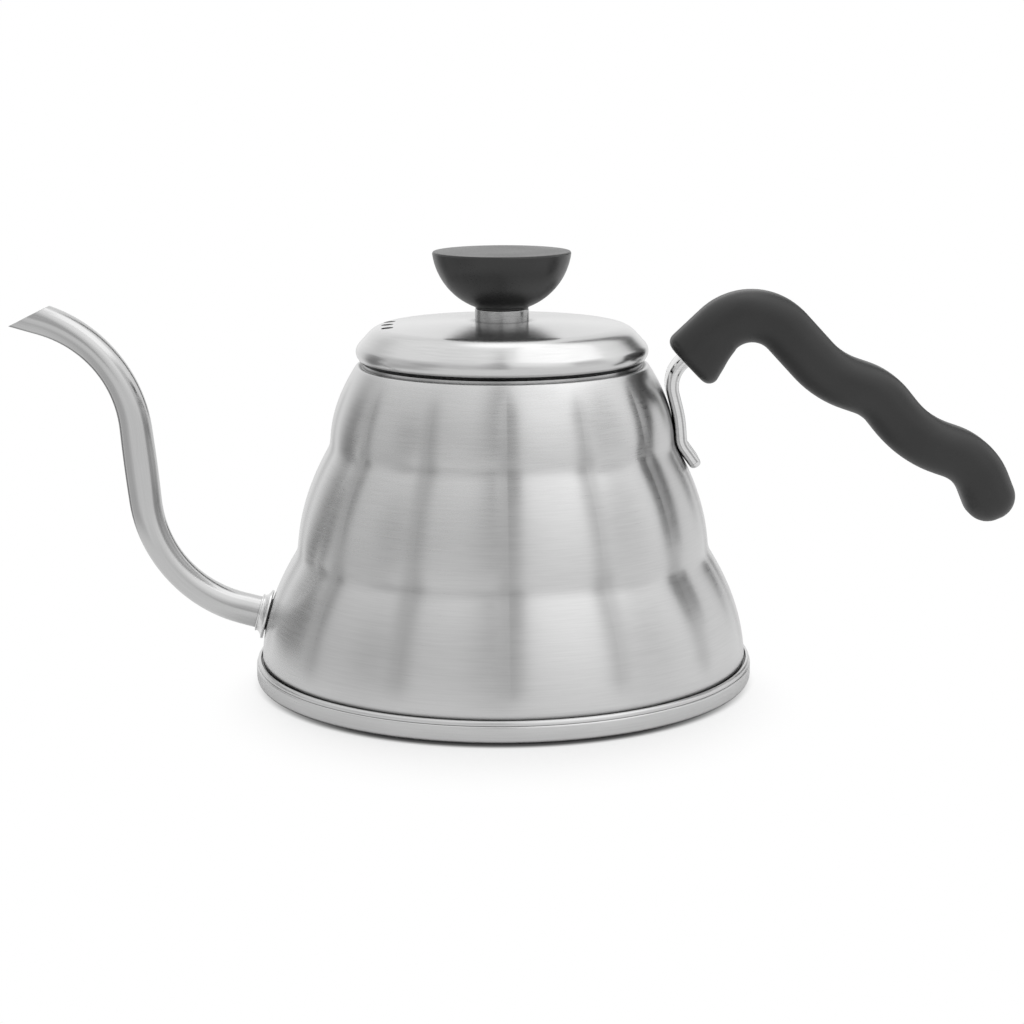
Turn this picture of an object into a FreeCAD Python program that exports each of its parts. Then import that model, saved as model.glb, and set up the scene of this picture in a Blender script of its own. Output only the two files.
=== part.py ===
import FreeCAD, Part
import math
import os
import Sketcher

# Gooseneck kettle: a fluted three-tier steel body on a hemmed base pan, a slender curved spout,
# a wavy moulded grip on a channel strap, and a lift-off lid with a bowl-shaped knob.
# Millimetres. The kettle's axis is Z, the table is z = 0, the spout points to -X and the grip to +X.

FLUTES = 14
STEAM_HOLES = 3

SIZES = {
    # Base pan: the pressed floor with a raised rim
    "pan_step": 0.3,
    "pan_height": 4.6,
    "pan_floor": 1.0,
    "pan_rim_wall": 1.6,
    "pan_corner": 3.0,
    "pan_lip_round": 0.5,
    "pan_rib_inner": 44.0,
    "pan_rib_outer": 52.0,
    "pan_rib_rise": 0.8,
    "pan_rib_slope": 1.5,
    # Body shell: three bells, one above the other, each with the same flutes
    "wall": 0.7,
    "foot_radius": 65.35,
    "lower_tier_height": 30.1,
    "lower_bulge": 2.3,
    "lower_waist_radius": 55.1,
    "middle_tier_height": 28.6,
    "middle_bulge": 1.9,
    "upper_waist_radius": 45.95,
    "upper_tier_height": 22.0,
    "upper_bulge": 1.8,
    "mouth_land": 4.1,
    "flute_depth": 1.4,
    "waist_flute_depth": 1.1,
    "foot_bead_width": 1.35,
    "foot_bead_height": 1.2,
    "foot_bead_round": 0.4,
    "foot_seam_start": 0.15,
    "foot_seam_width": 0.4,
    "foot_seam_depth": 0.8,
    "neck_radius": 34.2,
    "neck_depth": 6.3,
    "neck_round": 0.65,
    # Spout: a bent tube with an oblique mouth, and the collar at its root
    "spout_diameter": 8.4,
    "spout_wall": 0.6,
    "spout_root_height": 16.05,
    "spout_root_depth": 2.0,
    "spout_root_run": 31.3,
    "spout_lower_bend": 34.2,
    "spout_riser_lean": 6.4,
    "spout_riser_rise": 66.25,
    "spout_upper_bend": 33.8,
    "spout_tip_angle": 16.6,
    "spout_tip_run": 30.6,
    "spout_cut_angle": 26.0,
    "spout_hole_clearance": 0.1,
    "collar_radius": 6.75,
    "collar_flange": 0.7,
    "collar_ring_radius": 5.0,
    "collar_length": 2.6,
    "collar_flare": 1.2,
    "collar_round": 0.35,
    "collar_gap": 0.25,
    # Grip: a moulded bar that bends over a hump and then waves for the fingers
    "grip_reach": 10.05,
    "grip_drop": 0.25,
    "grip_angle": 43.5,
    "grip_height": 13.8,
    "grip_width": 16.0,
    "grip_corner": 6.4,
    "grip_nose_drop": 3.5,
    "grip_nose_swell": 1.6,
    "grip_nose_round": 2.6,
    "grip_tail_round": 6.3,
    "hump_run": 25.4,
    "hump_round": 12.8,
    "hump_fall_angle": 47.3,
    "hump_fall_run": 29.4,
    "finger_flat_angle": 19.0,
    "finger_fall_angle": 51.0,
    "first_dip_round": 24.5,
    "first_flat_run": 14.1,
    "first_crest_round": 15.6,
    "second_fall_run": 16.0,
    "second_dip_round": 28.3,
    "second_flat_run": 17.4,
    "second_crest_round": 15.1,
    "tail_angle": 67.5,
    "tail_run": 17.3,
    # Strap: a pressed channel that carries the grip
    "strap_width": 11.0,
    "strap_depth": 3.2,
    "strap_metal": 1.0,
    "strap_outer_round": 1.7,
    "strap_inner_round": 0.6,
    "strap_gap": 0.35,
    "strap_tail_share": 0.225,
    "strap_belly_share": 0.70,
    "strap_tail_lift": 0.3,
    "strap_waist_bend": 8.0,
    "strap_belly_bend": 30.0,
    "strap_top_bend": 10.0,
    "strap_bend_reach": 6.4,
    "tang_length": 15.0,
    "tang_rise": 0.4,
    "slot_clearance": 0.25,
    # Screw, spring washer and insert that hold the grip on the strap
    "grip_screw_place": 9.0,
    "grip_screw_radius": 2.0,
    "grip_screw_length": 10.0,
    "grip_head_radius": 3.5,
    "grip_head_height": 2.3,
    "grip_head_floor": 4.0,
    "grip_insert_radius": 3.0,
    "grip_insert_length": 3.2,
    "spring_washer": 0.9,
    "spring_washer_width": 1.2,
    "spring_washer_split": 0.8,
    "screw_clearance": 0.2,
    "head_clearance": 0.4,
    "thread_clearance": 0.05,
    "insert_clearance": 0.03,
    "insert_gap": 0.1,
    # Lid: pressed cap, plug ring, knob and the hardware between them
    "lid_overhang": 0.55,
    "lid_height": 9.94,
    "lid_metal": 0.7,
    "lid_shoulder_round": 7.9,
    "lid_bead_round": 1.6,
    "lid_hem_width": 2.25,
    "lid_hem_height": 1.6,
    "steam_hole_radius": 1.5,
    "steam_hole_inset": 0.55,
    "steam_hole_spread": 26.8,
    "plug_clearance": 0.3,
    "plug_metal": 0.6,
    "plug_depth": 8.0,
    "plug_flange": 1.7,
    "plug_knee_round": 0.8,
    "weld_gap": 0.05,
    "knob_collar_radius": 7.15,
    "knob_collar_height": 4.2,
    "knob_collar_round": 0.4,
    "knob_radius": 18.35,
    "knob_height": 15.0,
    "knob_foot_radius": 7.0,
    "knob_foot_rise": 0.3,
    "knob_belly_radius": 16.9,
    "knob_belly_height": 4.7,
    "knob_belly_round": 17.4,
    "knob_rim_drop": 0.5,
    "knob_rim_round": 0.35,
    "knob_screw_radius": 2.0,
    "knob_screw_reach": 12.5,
    "knob_head_radius": 3.5,
    "knob_head_height": 2.4,
    "knob_washer_radius": 6.0,
    "knob_washer": 1.0,
    "knob_insert_radius": 3.5,
    "knob_insert_length": 9.0,
    "knob_insert_inset": 0.3,
    "knob_bore_spare": 1.5,
}


class Size:
    """A number that also knows the sheet formula behind it."""

    def __init__(self, value, formula):
        self.value = float(value)
        self.formula = formula

    def joined(self, sign, other, value):
        return Size(value, "(%s %s %s)" % (self.formula, sign, other.formula))

    def __add__(self, other):
        other = as_size(other)
        return self.joined("+", other, self.value + other.value)

    def __sub__(self, other):
        other = as_size(other)
        return self.joined("-", other, self.value - other.value)

    def __mul__(self, other):
        other = as_size(other)
        return self.joined("*", other, self.value * other.value)

    def __truediv__(self, other):
        other = as_size(other)
        return self.joined("/", other, self.value / other.value)

    def __radd__(self, other):
        return as_size(other) + self

    def __rsub__(self, other):
        return as_size(other) - self

    def __rmul__(self, other):
        return as_size(other) * self

    def __neg__(self):
        return as_size(0) - self


def as_size(item):
    if isinstance(item, Size):
        return item
    return Size(item, "%.10g" % item)


def cosine(angle):
    return Size(math.cos(math.radians(angle.value)), "cos(%s)" % angle.formula)


def sine(angle):
    return Size(math.sin(math.radians(angle.value)), "sin(%s)" % angle.formula)


def arctangent(ratio):
    return Size(math.degrees(math.atan(ratio.value)), "(atan(%s) / 1 deg)" % ratio.formula)


def square_root(size):
    return Size(math.sqrt(size.value), "sqrt(%s)" % size.formula)


class Sheet:
    """The driving dimensions, each one a named cell."""

    def __init__(self, doc):
        self.cells = doc.addObject("Spreadsheet::Sheet", "Sizes")
        for row, (alias, value) in enumerate(SIZES.items(), start=1):
            cell = "A%d" % row
            self.cells.set(cell, str(value))
            self.cells.setAlias(cell, alias)
        self.cells.recompute()

    def __getattr__(self, alias):
        return Size(self.cells.get(alias), "Sizes." + alias)


doc = FreeCAD.newDocument("GooseneckKettle")
at = Sheet(doc)


# Sketches and features

def new_body(label):
    body = doc.addObject("PartDesign::Body", label)
    body.Label = label
    return body


def origin_plane(body, role):
    return next(item for item in body.Origin.OriginFeatures if item.Role == role)


def sketch_on(body, name, role, height=None):
    """A sketch on an origin plane of its own body, lifted by height where one is given."""
    sketch = body.newObject("Sketcher::SketchObject", name)
    sketch.AttachmentSupport = [(origin_plane(body, role), "")]
    sketch.MapMode = "FlatFace"
    if height is not None:
        lift = FreeCAD.Vector(0, 0, height.value)
        sketch.AttachmentOffset = FreeCAD.Placement(lift, FreeCAD.Rotation())
        sketch.setExpression("AttachmentOffset.Base.z", height.formula)
    return sketch


def sketch_across(body, name, path, edge, share=0.0):
    """A sketch square to one edge of a path: x runs along Y, y rises from the path, z points back."""
    sketch = body.newObject("Sketcher::SketchObject", name)
    sketch.AttachmentSupport = [(path, edge)]
    sketch.MapMode = "NormalToEdge"
    sketch.MapPathParameter = share
    return sketch


def constrain(sketch, rules):
    """Adds constraints and binds those that carry a size to the sheet."""
    first = sketch.ConstraintCount
    sketch.addConstraint([Sketcher.Constraint(*(rule[:-1] + value_of(rule))) for rule in rules])
    for number, rule in enumerate(rules, start=first):
        if isinstance(rule[-1], Size):
            sketch.setExpression("Constraints[%d]" % number, rule[-1].formula)


def value_of(rule):
    last = rule[-1]
    return (last.value,) if isinstance(last, Size) else (last,)


def pin_point(rules, geometry, position, corner):
    """Fixes a point to its corner's x and y, on an axis where that size is a plain zero."""
    x, y = corner[0], corner[1]
    if isinstance(x, Size):
        rules.append(("DistanceX", -1, 1, geometry, position, x))
    else:
        rules.append(("PointOnObject", geometry, position, -2))
    if isinstance(y, Size):
        rules.append(("DistanceY", -1, 1, geometry, position, y))
    else:
        rules.append(("PointOnObject", geometry, position, -1))


def corner_arc(before, corner, after, radius):
    """Tangent points and arc that round a corner; left is True where the path turns left."""
    back = (before - corner).normalize()
    onward = (after - corner).normalize()
    half = math.acos(max(-1.0, min(1.0, back.dot(onward)))) / 2.0
    reach = radius / math.tan(half)
    enter = corner + back * reach
    leave = corner + onward * reach
    centre = corner + (back + onward).normalize() * (radius / math.sin(half))
    left = back.cross(onward).z < 0
    first, last = (enter, leave) if left else (leave, enter)
    turn = [math.atan2((point - centre).y, (point - centre).x) for point in (first, last)]
    if turn[1] < turn[0]:
        turn[1] += 2.0 * math.pi
    circle = Part.Circle(centre, FreeCAD.Vector(0, 0, 1), radius)
    return enter, leave, Part.ArcOfCircle(circle, turn[0], turn[1]), left


def outline(sketch, corners, closed=True):
    """Straight runs between corners (x, y) or (x, y, radius), rounded by tangent arcs."""
    count = len(corners)
    spots = [FreeCAD.Vector(as_size(c[0]).value, as_size(c[1]).value, 0) for c in corners]
    inner = range(count) if closed else range(1, count - 1)
    arcs = {}
    for i in inner:
        if len(corners[i]) == 3:
            after = spots[(i + 1) % count]
            arcs[i] = corner_arc(spots[i - 1], spots[i], after, corners[i][2].value)
    runs = count if closed else count - 1
    for i in range(runs):
        j = (i + 1) % count
        start = arcs[i][1] if i in arcs else spots[i]
        end = arcs[j][0] if j in arcs else spots[j]
        sketch.addGeometry(Part.LineSegment(start, end), False)
    arc_of = {i: sketch.addGeometry(arcs[i][2], False) for i in arcs}
    rules = []
    for i, corner in enumerate(corners):
        before = (i - 1) % count
        if i in arcs:
            guide = sketch.addGeometry(Part.Point(spots[i]), True)
            enter, leave = (1, 2) if arcs[i][3] else (2, 1)
            pin_point(rules, guide, 1, corner)
            rules.append(("PointOnObject", guide, 1, before))
            rules.append(("PointOnObject", guide, 1, i))
            rules.append(("Tangent", before, 2, arc_of[i], enter))
            rules.append(("Tangent", i, 1, arc_of[i], leave))
            rules.append(("Radius", arc_of[i], corner[2]))
        elif closed or 0 < i < count - 1:
            rules.append(("Coincident", before, 2, i, 1))
            pin_point(rules, i, 1, corner)
        else:
            line, end = (0, 1) if i == 0 else (runs - 1, 2)
            pin_point(rules, line, end, corner)
    constrain(sketch, rules)
    return sketch


def circle_in(sketch, radius, x=0, y=0):
    spot = FreeCAD.Vector(as_size(x).value, as_size(y).value, 0)
    ring = sketch.addGeometry(Part.Circle(spot, FreeCAD.Vector(0, 0, 1), radius.value), False)
    rules = []
    pin_point(rules, ring, 3, (x, y))
    rules.append(("Radius", ring, radius))
    constrain(sketch, rules)
    return sketch


def revolve(body, name, corners, cut=False):
    """Turns a profile of (radius, height) corners about the vertical axis."""
    sketch = outline(sketch_on(body, name + "_profile", "XZ_Plane"), corners)
    kind = "PartDesign::Groove" if cut else "PartDesign::Revolution"
    turned = body.newObject(kind, name)
    turned.Profile = sketch
    turned.ReferenceAxis = (sketch, ["V_Axis"])
    turned.Angle = 360.0
    return turned


def bore(body, name, sketch, depth):
    """A blind pocket of the sketch: downwards from a level sketch, onwards from one across a path."""
    pocket = body.newObject("PartDesign::Pocket", name)
    pocket.Profile = sketch
    pocket.Type = "Length"
    pocket.Length = depth.value
    pocket.setExpression("Length", depth.formula)
    return pocket


def cut_across(body, name, sketch, width):
    """A pocket of a side-view sketch, centred on the kettle's middle plane."""
    pocket = bore(body, name, sketch, width)
    pocket.Midplane = True
    return pocket


def pipe(body, name, profile, path, edges, cut=False):
    kind = "PartDesign::SubtractivePipe" if cut else "PartDesign::AdditivePipe"
    swept = body.newObject(kind, name)
    swept.Profile = profile
    swept.Spine = (path, edges)
    return swept


def edge_names(first, last):
    return ["Edge%d" % number for number in range(first, last + 1)]


def loft(body, name, sections, cut=False):
    kind = "PartDesign::SubtractiveLoft" if cut else "PartDesign::AdditiveLoft"
    lofted = body.newObject(kind, name)
    lofted.Profile = sections[0]
    lofted.Sections = sections[1:]
    return lofted


def round_edges(body, name, base, edges, radius):
    fillet = body.newObject("PartDesign::Fillet", name)
    fillet.Base = (base, edges)
    fillet.Radius = radius.value
    fillet.setExpression("Radius", radius.formula)
    return fillet


def set_place(body, x, z, tilt):
    """Seats a turned piece on the middle plane, its own axis tilted from Z towards +X."""
    turn = FreeCAD.Rotation(FreeCAD.Vector(0, 1, 0), tilt.value)
    body.Placement = FreeCAD.Placement(FreeCAD.Vector(x.value, 0, z.value), turn)
    body.setExpression("Placement.Base.x", x.formula)
    body.setExpression("Placement.Base.z", z.formula)
    body.setExpression("Placement.Rotation.Angle", tilt.formula)


# Heights and shared places

foot_height = at.pan_height
lower_waist_height = foot_height + at.lower_tier_height
upper_waist_height = lower_waist_height + at.middle_tier_height
mouth_height = upper_waist_height + at.upper_tier_height
lid_top = mouth_height + at.lid_height
knob_foot = lid_top + at.knob_collar_height
bead_radius = at.foot_radius + at.foot_bead_width
pan_radius = bead_radius + at.pan_step
shoulder_radius = at.neck_radius + at.mouth_land
lid_radius = shoulder_radius + at.lid_overhang


class Tier:
    """One bell of the body: its upper and lower ridge radius, height and bulge."""

    def __init__(self, top, height, upper, lower, bulge):
        self.top, self.height = top, height
        self.upper, self.lower, self.bulge = upper, lower, bulge

    def level(self, share):
        return self.top - self.height * share

    def ridge(self, share):
        """Ridge radius at a share of the way down: a chord with a parabolic bulge."""
        share = as_size(share)
        return self.upper + (self.lower - self.upper) * share + self.bulge * share * (1 - share) * 4

    def slope(self, share):
        """How fast the ridge widens on the way down, as a plain ratio."""
        return (self.lower - self.upper + self.bulge * (1 - share * 2) * 4) / self.height


upper_tier = Tier(
    mouth_height, at.upper_tier_height,
    shoulder_radius, at.upper_waist_radius, at.upper_bulge)
middle_tier = Tier(
    upper_waist_height, at.middle_tier_height,
    at.upper_waist_radius, at.lower_waist_radius, at.middle_bulge)
lower_tier = Tier(
    lower_waist_height, at.lower_tier_height,
    at.lower_waist_radius, at.foot_radius, at.lower_bulge)

# The grip's straight start: a point on its end face, the way it runs and its upper side
grip_start = (shoulder_radius + at.grip_reach, mouth_height - at.grip_drop)
grip_along = (cosine(at.grip_angle), sine(at.grip_angle))


def on_grip(along, up):
    """Side-view place at a distance from the grip's end face and a height above its axis."""
    x = grip_start[0] + grip_along[0] * along - grip_along[1] * up
    z = grip_start[1] + grip_along[1] * along + grip_along[0] * up
    return x, z


# The spout's root on the lower bell, and the corners of its bent path
spout_radius = at.spout_diameter / 2
spout_bore = spout_radius - at.spout_wall
root_share = (lower_waist_height - at.spout_root_height) / at.lower_tier_height
root_ridge = lower_tier.ridge(root_share)
root_angle = arctangent(lower_tier.slope(root_share))
root_along = (cosine(root_angle), sine(root_angle))


def on_root(out):
    """Side-view place on the spout's root axis, out from the body's ridge."""
    return -root_ridge - root_along[0] * out, at.spout_root_height + root_along[1] * out


# Body shell

def fluted_section(body, name, height, ridge, depth):
    """A ring of outward arcs that meet in valleys; the ridges lie on the X axis."""
    sketch = sketch_on(body, name, "XY_Plane", height)
    valley = ridge - depth
    half = math.pi / FLUTES
    half_chord = valley * math.sin(half)
    rise = ridge - valley * math.cos(half)
    bow = (half_chord * half_chord + rise * rise) / (rise * 2)
    centre = ridge.value - bow.value
    swing = math.asin(half_chord.value / bow.value)
    up = FreeCAD.Vector(0, 0, 1)
    ring = sketch.addGeometry(Part.Circle(FreeCAD.Vector(), up, valley.value), True)
    rules = [("Coincident", ring, 3, -1, 1), ("Radius", ring, valley)]
    spokes = []
    arcs = []
    for flute in range(FLUTES):
        valley_angle = (2 * flute - 1) * half
        far = FreeCAD.Vector(math.cos(valley_angle), math.sin(valley_angle), 0) * ridge.value
        spokes.append(sketch.addGeometry(Part.LineSegment(FreeCAD.Vector(), far), True))
        ridge_angle = 2 * flute * half
        middle = FreeCAD.Vector(math.cos(ridge_angle), math.sin(ridge_angle), 0) * centre
        circle = Part.Circle(middle, up, bow.value)
        lobe = Part.ArcOfCircle(circle, ridge_angle - swing, ridge_angle + swing)
        arcs.append(sketch.addGeometry(lobe, False))
    for flute in range(FLUTES):
        rules.append(("Block", spokes[flute]))
        rules.append(("PointOnObject", arcs[flute], 1, spokes[flute]))
        rules.append(("PointOnObject", arcs[flute], 1, ring))
        rules.append(("Coincident", arcs[flute], 1, arcs[flute - 1], 2))
        if flute:
            rules.append(("Equal", arcs[0], arcs[flute]))
    rules.append(("Radius", arcs[0], bow))
    constrain(sketch, rules)
    return sketch


def fluted_levels():
    """Height, ridge radius and flute depth down the body: round at the mouth and at the foot."""
    deep = at.flute_depth
    waist = at.waist_flute_depth
    none = as_size(0)
    levels = [(mouth_height, shoulder_radius, none)]
    for tier, first, last in ((upper_tier, waist / 2, waist), (middle_tier, waist, waist),
                              (lower_tier, waist, waist / 2)):
        for share, depth in zip((0.1, 0.3, 0.5, 0.7, 0.9), (first, deep, deep, deep, last)):
            levels.append((tier.level(share), tier.ridge(share), depth))
    levels.append((foot_height, at.foot_radius, none))
    return levels


def make_body_shell():
    body = new_body("body_shell")
    levels = fluted_levels()
    outer = [fluted_section(body, "outer_%d" % i, *level) for i, level in enumerate(levels)]
    loft(body, "bells", outer)
    hollow = [(z, ridge - at.wall, depth) for z, ridge, depth in levels]
    hollow[0] = (mouth_height - at.wall, shoulder_radius - at.wall / 2, hollow[0][2])
    inner = [fluted_section(body, "inner_%d" % i, *level) for i, level in enumerate(hollow)]
    loft(body, "hollow", inner, cut=True)
    mouth = circle_in(sketch_on(body, "mouth_circle", "XY_Plane", mouth_height), at.neck_radius + at.wall)
    bore(body, "mouth", mouth, at.wall * 2)
    land = at.neck_radius + at.wall * 2
    revolve(body, "neck", (
        (at.neck_radius, mouth_height - at.neck_depth),
        (at.neck_radius + at.wall, mouth_height - at.neck_depth),
        (at.neck_radius + at.wall, mouth_height - at.wall),
        (land, mouth_height - at.wall),
        (land, mouth_height),
        (at.neck_radius, mouth_height, at.neck_round)))
    within_wall = at.foot_radius - at.wall / 2
    revolve(body, "foot_bead", (
        (within_wall, foot_height),
        (bead_radius, foot_height, at.foot_bead_round),
        (bead_radius, foot_height + at.foot_bead_height, at.foot_bead_round),
        (within_wall, foot_height + at.foot_bead_height)))
    seam_start = at.foot_radius + at.foot_seam_start
    seam_end = seam_start + at.foot_seam_width
    bead_top = foot_height + at.foot_bead_height
    revolve(body, "foot_seam", (
        (seam_start, bead_top - at.foot_seam_depth),
        (seam_end, bead_top - at.foot_seam_depth),
        (seam_end, bead_top + at.foot_seam_depth),
        (seam_start, bead_top + at.foot_seam_depth)), cut=True)
    axis = sketch_on(body, "spout_axis", "XZ_Plane")
    outline(axis, (on_root(-at.collar_radius), on_root(at.collar_radius)), closed=False)
    hole = sketch_across(body, "spout_hole_circle", axis, "Edge1")
    circle_in(hole, spout_radius + at.spout_hole_clearance)
    bore(body, "spout_hole", hole, at.collar_radius * 2)
    return body


# Base pan

def make_base_pan():
    """Flat floor with a pressed stiffening ring and an upright rim."""
    body = new_body("base_pan")
    rim = pan_radius - at.pan_rim_wall
    rib_start = at.pan_rib_inner + at.pan_rib_slope
    rib_end = at.pan_rib_outer - at.pan_rib_slope
    raised = at.pan_rib_rise + at.pan_floor
    revolve(body, "pan", (
        (0, 0),
        (at.pan_rib_inner, 0),
        (rib_start, at.pan_rib_rise),
        (rib_end, at.pan_rib_rise),
        (at.pan_rib_outer, 0),
        (pan_radius, 0, at.pan_corner),
        (pan_radius, at.pan_height, at.pan_lip_round),
        (rim, at.pan_height),
        (rim, at.pan_floor, at.pan_floor),
        (at.pan_rib_outer, at.pan_floor),
        (rib_end, raised),
        (rib_start, raised),
        (at.pan_rib_inner, at.pan_floor),
        (0, at.pan_floor)))
    return body


# Spout

def spout_corners():
    """Start inside the body, the two bends and the end of the tube, in side view."""
    start = on_root(-at.spout_root_depth)
    low = on_root(at.spout_root_run)
    high = (low[0] - at.spout_riser_lean, low[1] + at.spout_riser_rise)
    end = (high[0] - cosine(at.spout_tip_angle) * at.spout_tip_run,
           high[1] + sine(at.spout_tip_angle) * at.spout_tip_run)
    return start, low + (at.spout_lower_bend,), high + (at.spout_upper_bend,), end


def make_spout_tube():
    body = new_body("spout_tube")
    corners = spout_corners()
    path = outline(sketch_on(body, "path", "XZ_Plane"), corners, closed=False)
    runs = edge_names(1, 5)
    skin = circle_in(sketch_across(body, "skin_circle", path, "Edge1"), spout_radius)
    pipe(body, "skin", skin, path, runs)
    passage = circle_in(sketch_across(body, "passage_circle", path, "Edge1"), spout_bore)
    pipe(body, "passage", passage, path, runs, cut=True)
    end = corners[-1]
    lip = (end[0] - sine(at.spout_tip_angle) * spout_radius,
           end[1] - cosine(at.spout_tip_angle) * spout_radius)
    reach = at.spout_diameter * 2
    far = (lip[0] + cosine(at.spout_cut_angle) * reach, lip[1] + sine(at.spout_cut_angle) * reach)
    wedge = outline(sketch_on(body, "mouth_wedge", "XZ_Plane"), (
        lip,
        far,
        (far[0], far[1] + at.spout_diameter),
        (lip[0] - at.spout_diameter, far[1] + at.spout_diameter),
        (lip[0] - at.spout_diameter, lip[1])))
    cut_across(body, "mouth_cut", wedge, at.spout_diameter * 2)
    return body


def make_spout_collar():
    body = new_body("spout_collar")
    hole = spout_radius + at.spout_hole_clearance
    ring = at.collar_ring_radius
    revolve(body, "ferrule", (
        (hole, 0),
        (at.collar_radius, 0),
        (at.collar_radius, at.collar_flange, at.collar_round),
        (ring, at.collar_flange, at.collar_flare),
        (ring, at.collar_length, at.collar_round),
        (hole, at.collar_length)))
    seat = on_root(at.collar_gap)
    set_place(body, seat[0], seat[1], root_angle - 90)
    return body


# Strap and grip

def strap_corners():
    """The strap's back, from its tail on the middle bell up the upper bell and into the grip."""
    tail = (middle_tier.ridge(at.strap_tail_share) + at.strap_gap + at.strap_tail_lift,
            middle_tier.level(at.strap_tail_share))
    waist = (at.upper_waist_radius + at.strap_gap, upper_waist_height, at.strap_waist_bend)
    belly = (upper_tier.ridge(at.strap_belly_share) + at.strap_gap, upper_tier.level(at.strap_belly_share),
             at.strap_belly_bend)
    back = at.tang_rise + at.strap_depth / 2
    bend = on_grip(-at.strap_bend_reach, back) + (at.strap_top_bend,)
    return tail, waist, belly, bend, on_grip(at.tang_length, back)


def make_handle_bracket():
    body = new_body("handle_bracket")
    path = outline(sketch_on(body, "back", "XZ_Plane"), strap_corners(), closed=False)
    half = at.strap_width / 2
    inside = half - at.strap_metal
    section = outline(sketch_across(body, "channel_section", path, "Edge1"), (
        (-half, at.strap_depth),
        (-half, 0, at.strap_outer_round),
        (half, 0, at.strap_outer_round),
        (half, at.strap_depth),
        (inside, at.strap_depth),
        (inside, at.strap_metal, at.strap_inner_round),
        (-inside, at.strap_metal, at.strap_inner_round),
        (-inside, at.strap_depth)))
    pipe(body, "channel", section, path, edge_names(1, 7))
    end = outline(sketch_across(body, "tail_section", path, "Edge1"), (
        (-half, at.strap_depth),
        (-half, 0, at.strap_outer_round),
        (half, 0, at.strap_outer_round),
        (half, at.strap_depth)))
    rim = body.newObject("PartDesign::Pad", "tail_rim")
    rim.Profile = end
    rim.Length = at.strap_metal.value
    rim.setExpression("Length", at.strap_metal.formula)
    rim.Reversed = True
    hole = screw_sketch(body, "screw_hole_circle")
    circle_in(hole, at.grip_screw_radius + at.screw_clearance)
    bore(body, "screw_hole", hole, at.grip_height * 2)
    return body


def screw_sketch(body, name, up=None):
    """A sketch square to the grip screw's axis, at a height above the grip's own axis."""
    low = at.grip_height * -1 if up is None else up
    axis = sketch_on(body, name + "_axis", "XZ_Plane")
    ends = on_grip(at.grip_screw_place, low), on_grip(at.grip_screw_place, low + at.grip_height)
    outline(axis, ends, closed=False)
    return sketch_across(body, name, axis, "Edge1")


def grip_corners():
    """The grip's middle line: straight start, hump, two finger waves and the turned-down tail."""
    steps = (
        (at.hump_run, at.grip_angle, at.hump_round),
        (at.hump_fall_run, -at.hump_fall_angle, at.first_dip_round),
        (at.first_flat_run, -at.finger_flat_angle, at.first_crest_round),
        (at.second_fall_run, -at.finger_fall_angle, at.second_dip_round),
        (at.second_flat_run, -at.finger_flat_angle, at.second_crest_round),
        (at.tail_run, -at.tail_angle, None))
    x, z = grip_start
    corners = [(x, z)]
    for run, angle, rounding in steps:
        x = x + cosine(angle) * run
        z = z + sine(angle) * run
        corners.append((x, z, rounding) if rounding else (x, z))
    return corners


def grip_section(body, name, path, edge, share, drop):
    """A softened rectangle, level with the grip's top line and drop lower than its underside."""
    half = at.grip_width / 2
    top = at.grip_height / 2
    bottom = -top - drop
    sketch = sketch_across(body, name, path, edge, share)
    return outline(sketch, (
        (-half, bottom, at.grip_corner),
        (half, bottom, at.grip_corner),
        (half, top, at.grip_corner),
        (-half, top, at.grip_corner)))


def end_edges(shape, centre, normal):
    """Names of the edges that lie in the plane through centre."""
    names = []
    for number, edge in enumerate(shape.Edges, start=1):
        spots = [edge.valueAt(edge.FirstParameter + (edge.LastParameter - edge.FirstParameter) * share)
                 for share in (0.0, 0.5, 1.0)]
        if all(abs((spot - centre).dot(normal)) < 1e-4 for spot in spots):
            names.append("Edge%d" % number)
    return names


def make_handle_grip():
    body = new_body("handle_grip")
    corners = grip_corners()
    path = outline(sketch_on(body, "middle_line", "XZ_Plane"), corners, closed=False)
    doc.recompute()
    none = as_size(0)
    root = grip_section(body, "root_section", path, "Edge1", 1.0, none)
    pipe(body, "bar", root, path, edge_names(2, 11))
    root_again = grip_section(body, "nose_root", path, "Edge1", 1.0, none)
    swell = grip_section(body, "nose_swell", path, "Edge1", 0.5, at.grip_nose_swell)
    face = grip_section(body, "nose_face", path, "Edge1", 0.0, at.grip_nose_drop)
    nose = loft(body, "nose", [root_again, swell, face])
    doc.recompute()
    start = FreeCAD.Vector(grip_start[0].value, 0, grip_start[1].value)
    along = FreeCAD.Vector(grip_along[0].value, 0, grip_along[1].value)
    nose_edges = end_edges(nose.Shape, start, along)
    softened = round_edges(body, "nose_rounding", nose, nose_edges, at.grip_nose_round)
    doc.recompute()
    tail = FreeCAD.Vector(corners[-1][0].value, 0, corners[-1][1].value)
    fall = math.radians(at.tail_angle.value)
    tail_edges = end_edges(softened.Shape, tail, FreeCAD.Vector(math.cos(fall), 0, -math.sin(fall)))
    round_edges(body, "tail_rounding", softened, tail_edges, at.grip_tail_round)
    cut_slot(body)
    cut_screw_way(body)
    return body


def cut_slot(body):
    """The slot that takes the strap's tang, open at the end face."""
    half = at.strap_depth / 2 + at.slot_clearance
    low = at.tang_rise - half
    high = at.tang_rise + half
    deep = at.tang_length + at.slot_clearance
    mouth = -at.grip_height
    slot = outline(sketch_on(body, "slot_side", "XZ_Plane"), (
        on_grip(mouth, low), on_grip(deep, low), on_grip(deep, high), on_grip(mouth, high)))
    cut_across(body, "slot", slot, at.strap_width + at.slot_clearance * 2)


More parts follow.
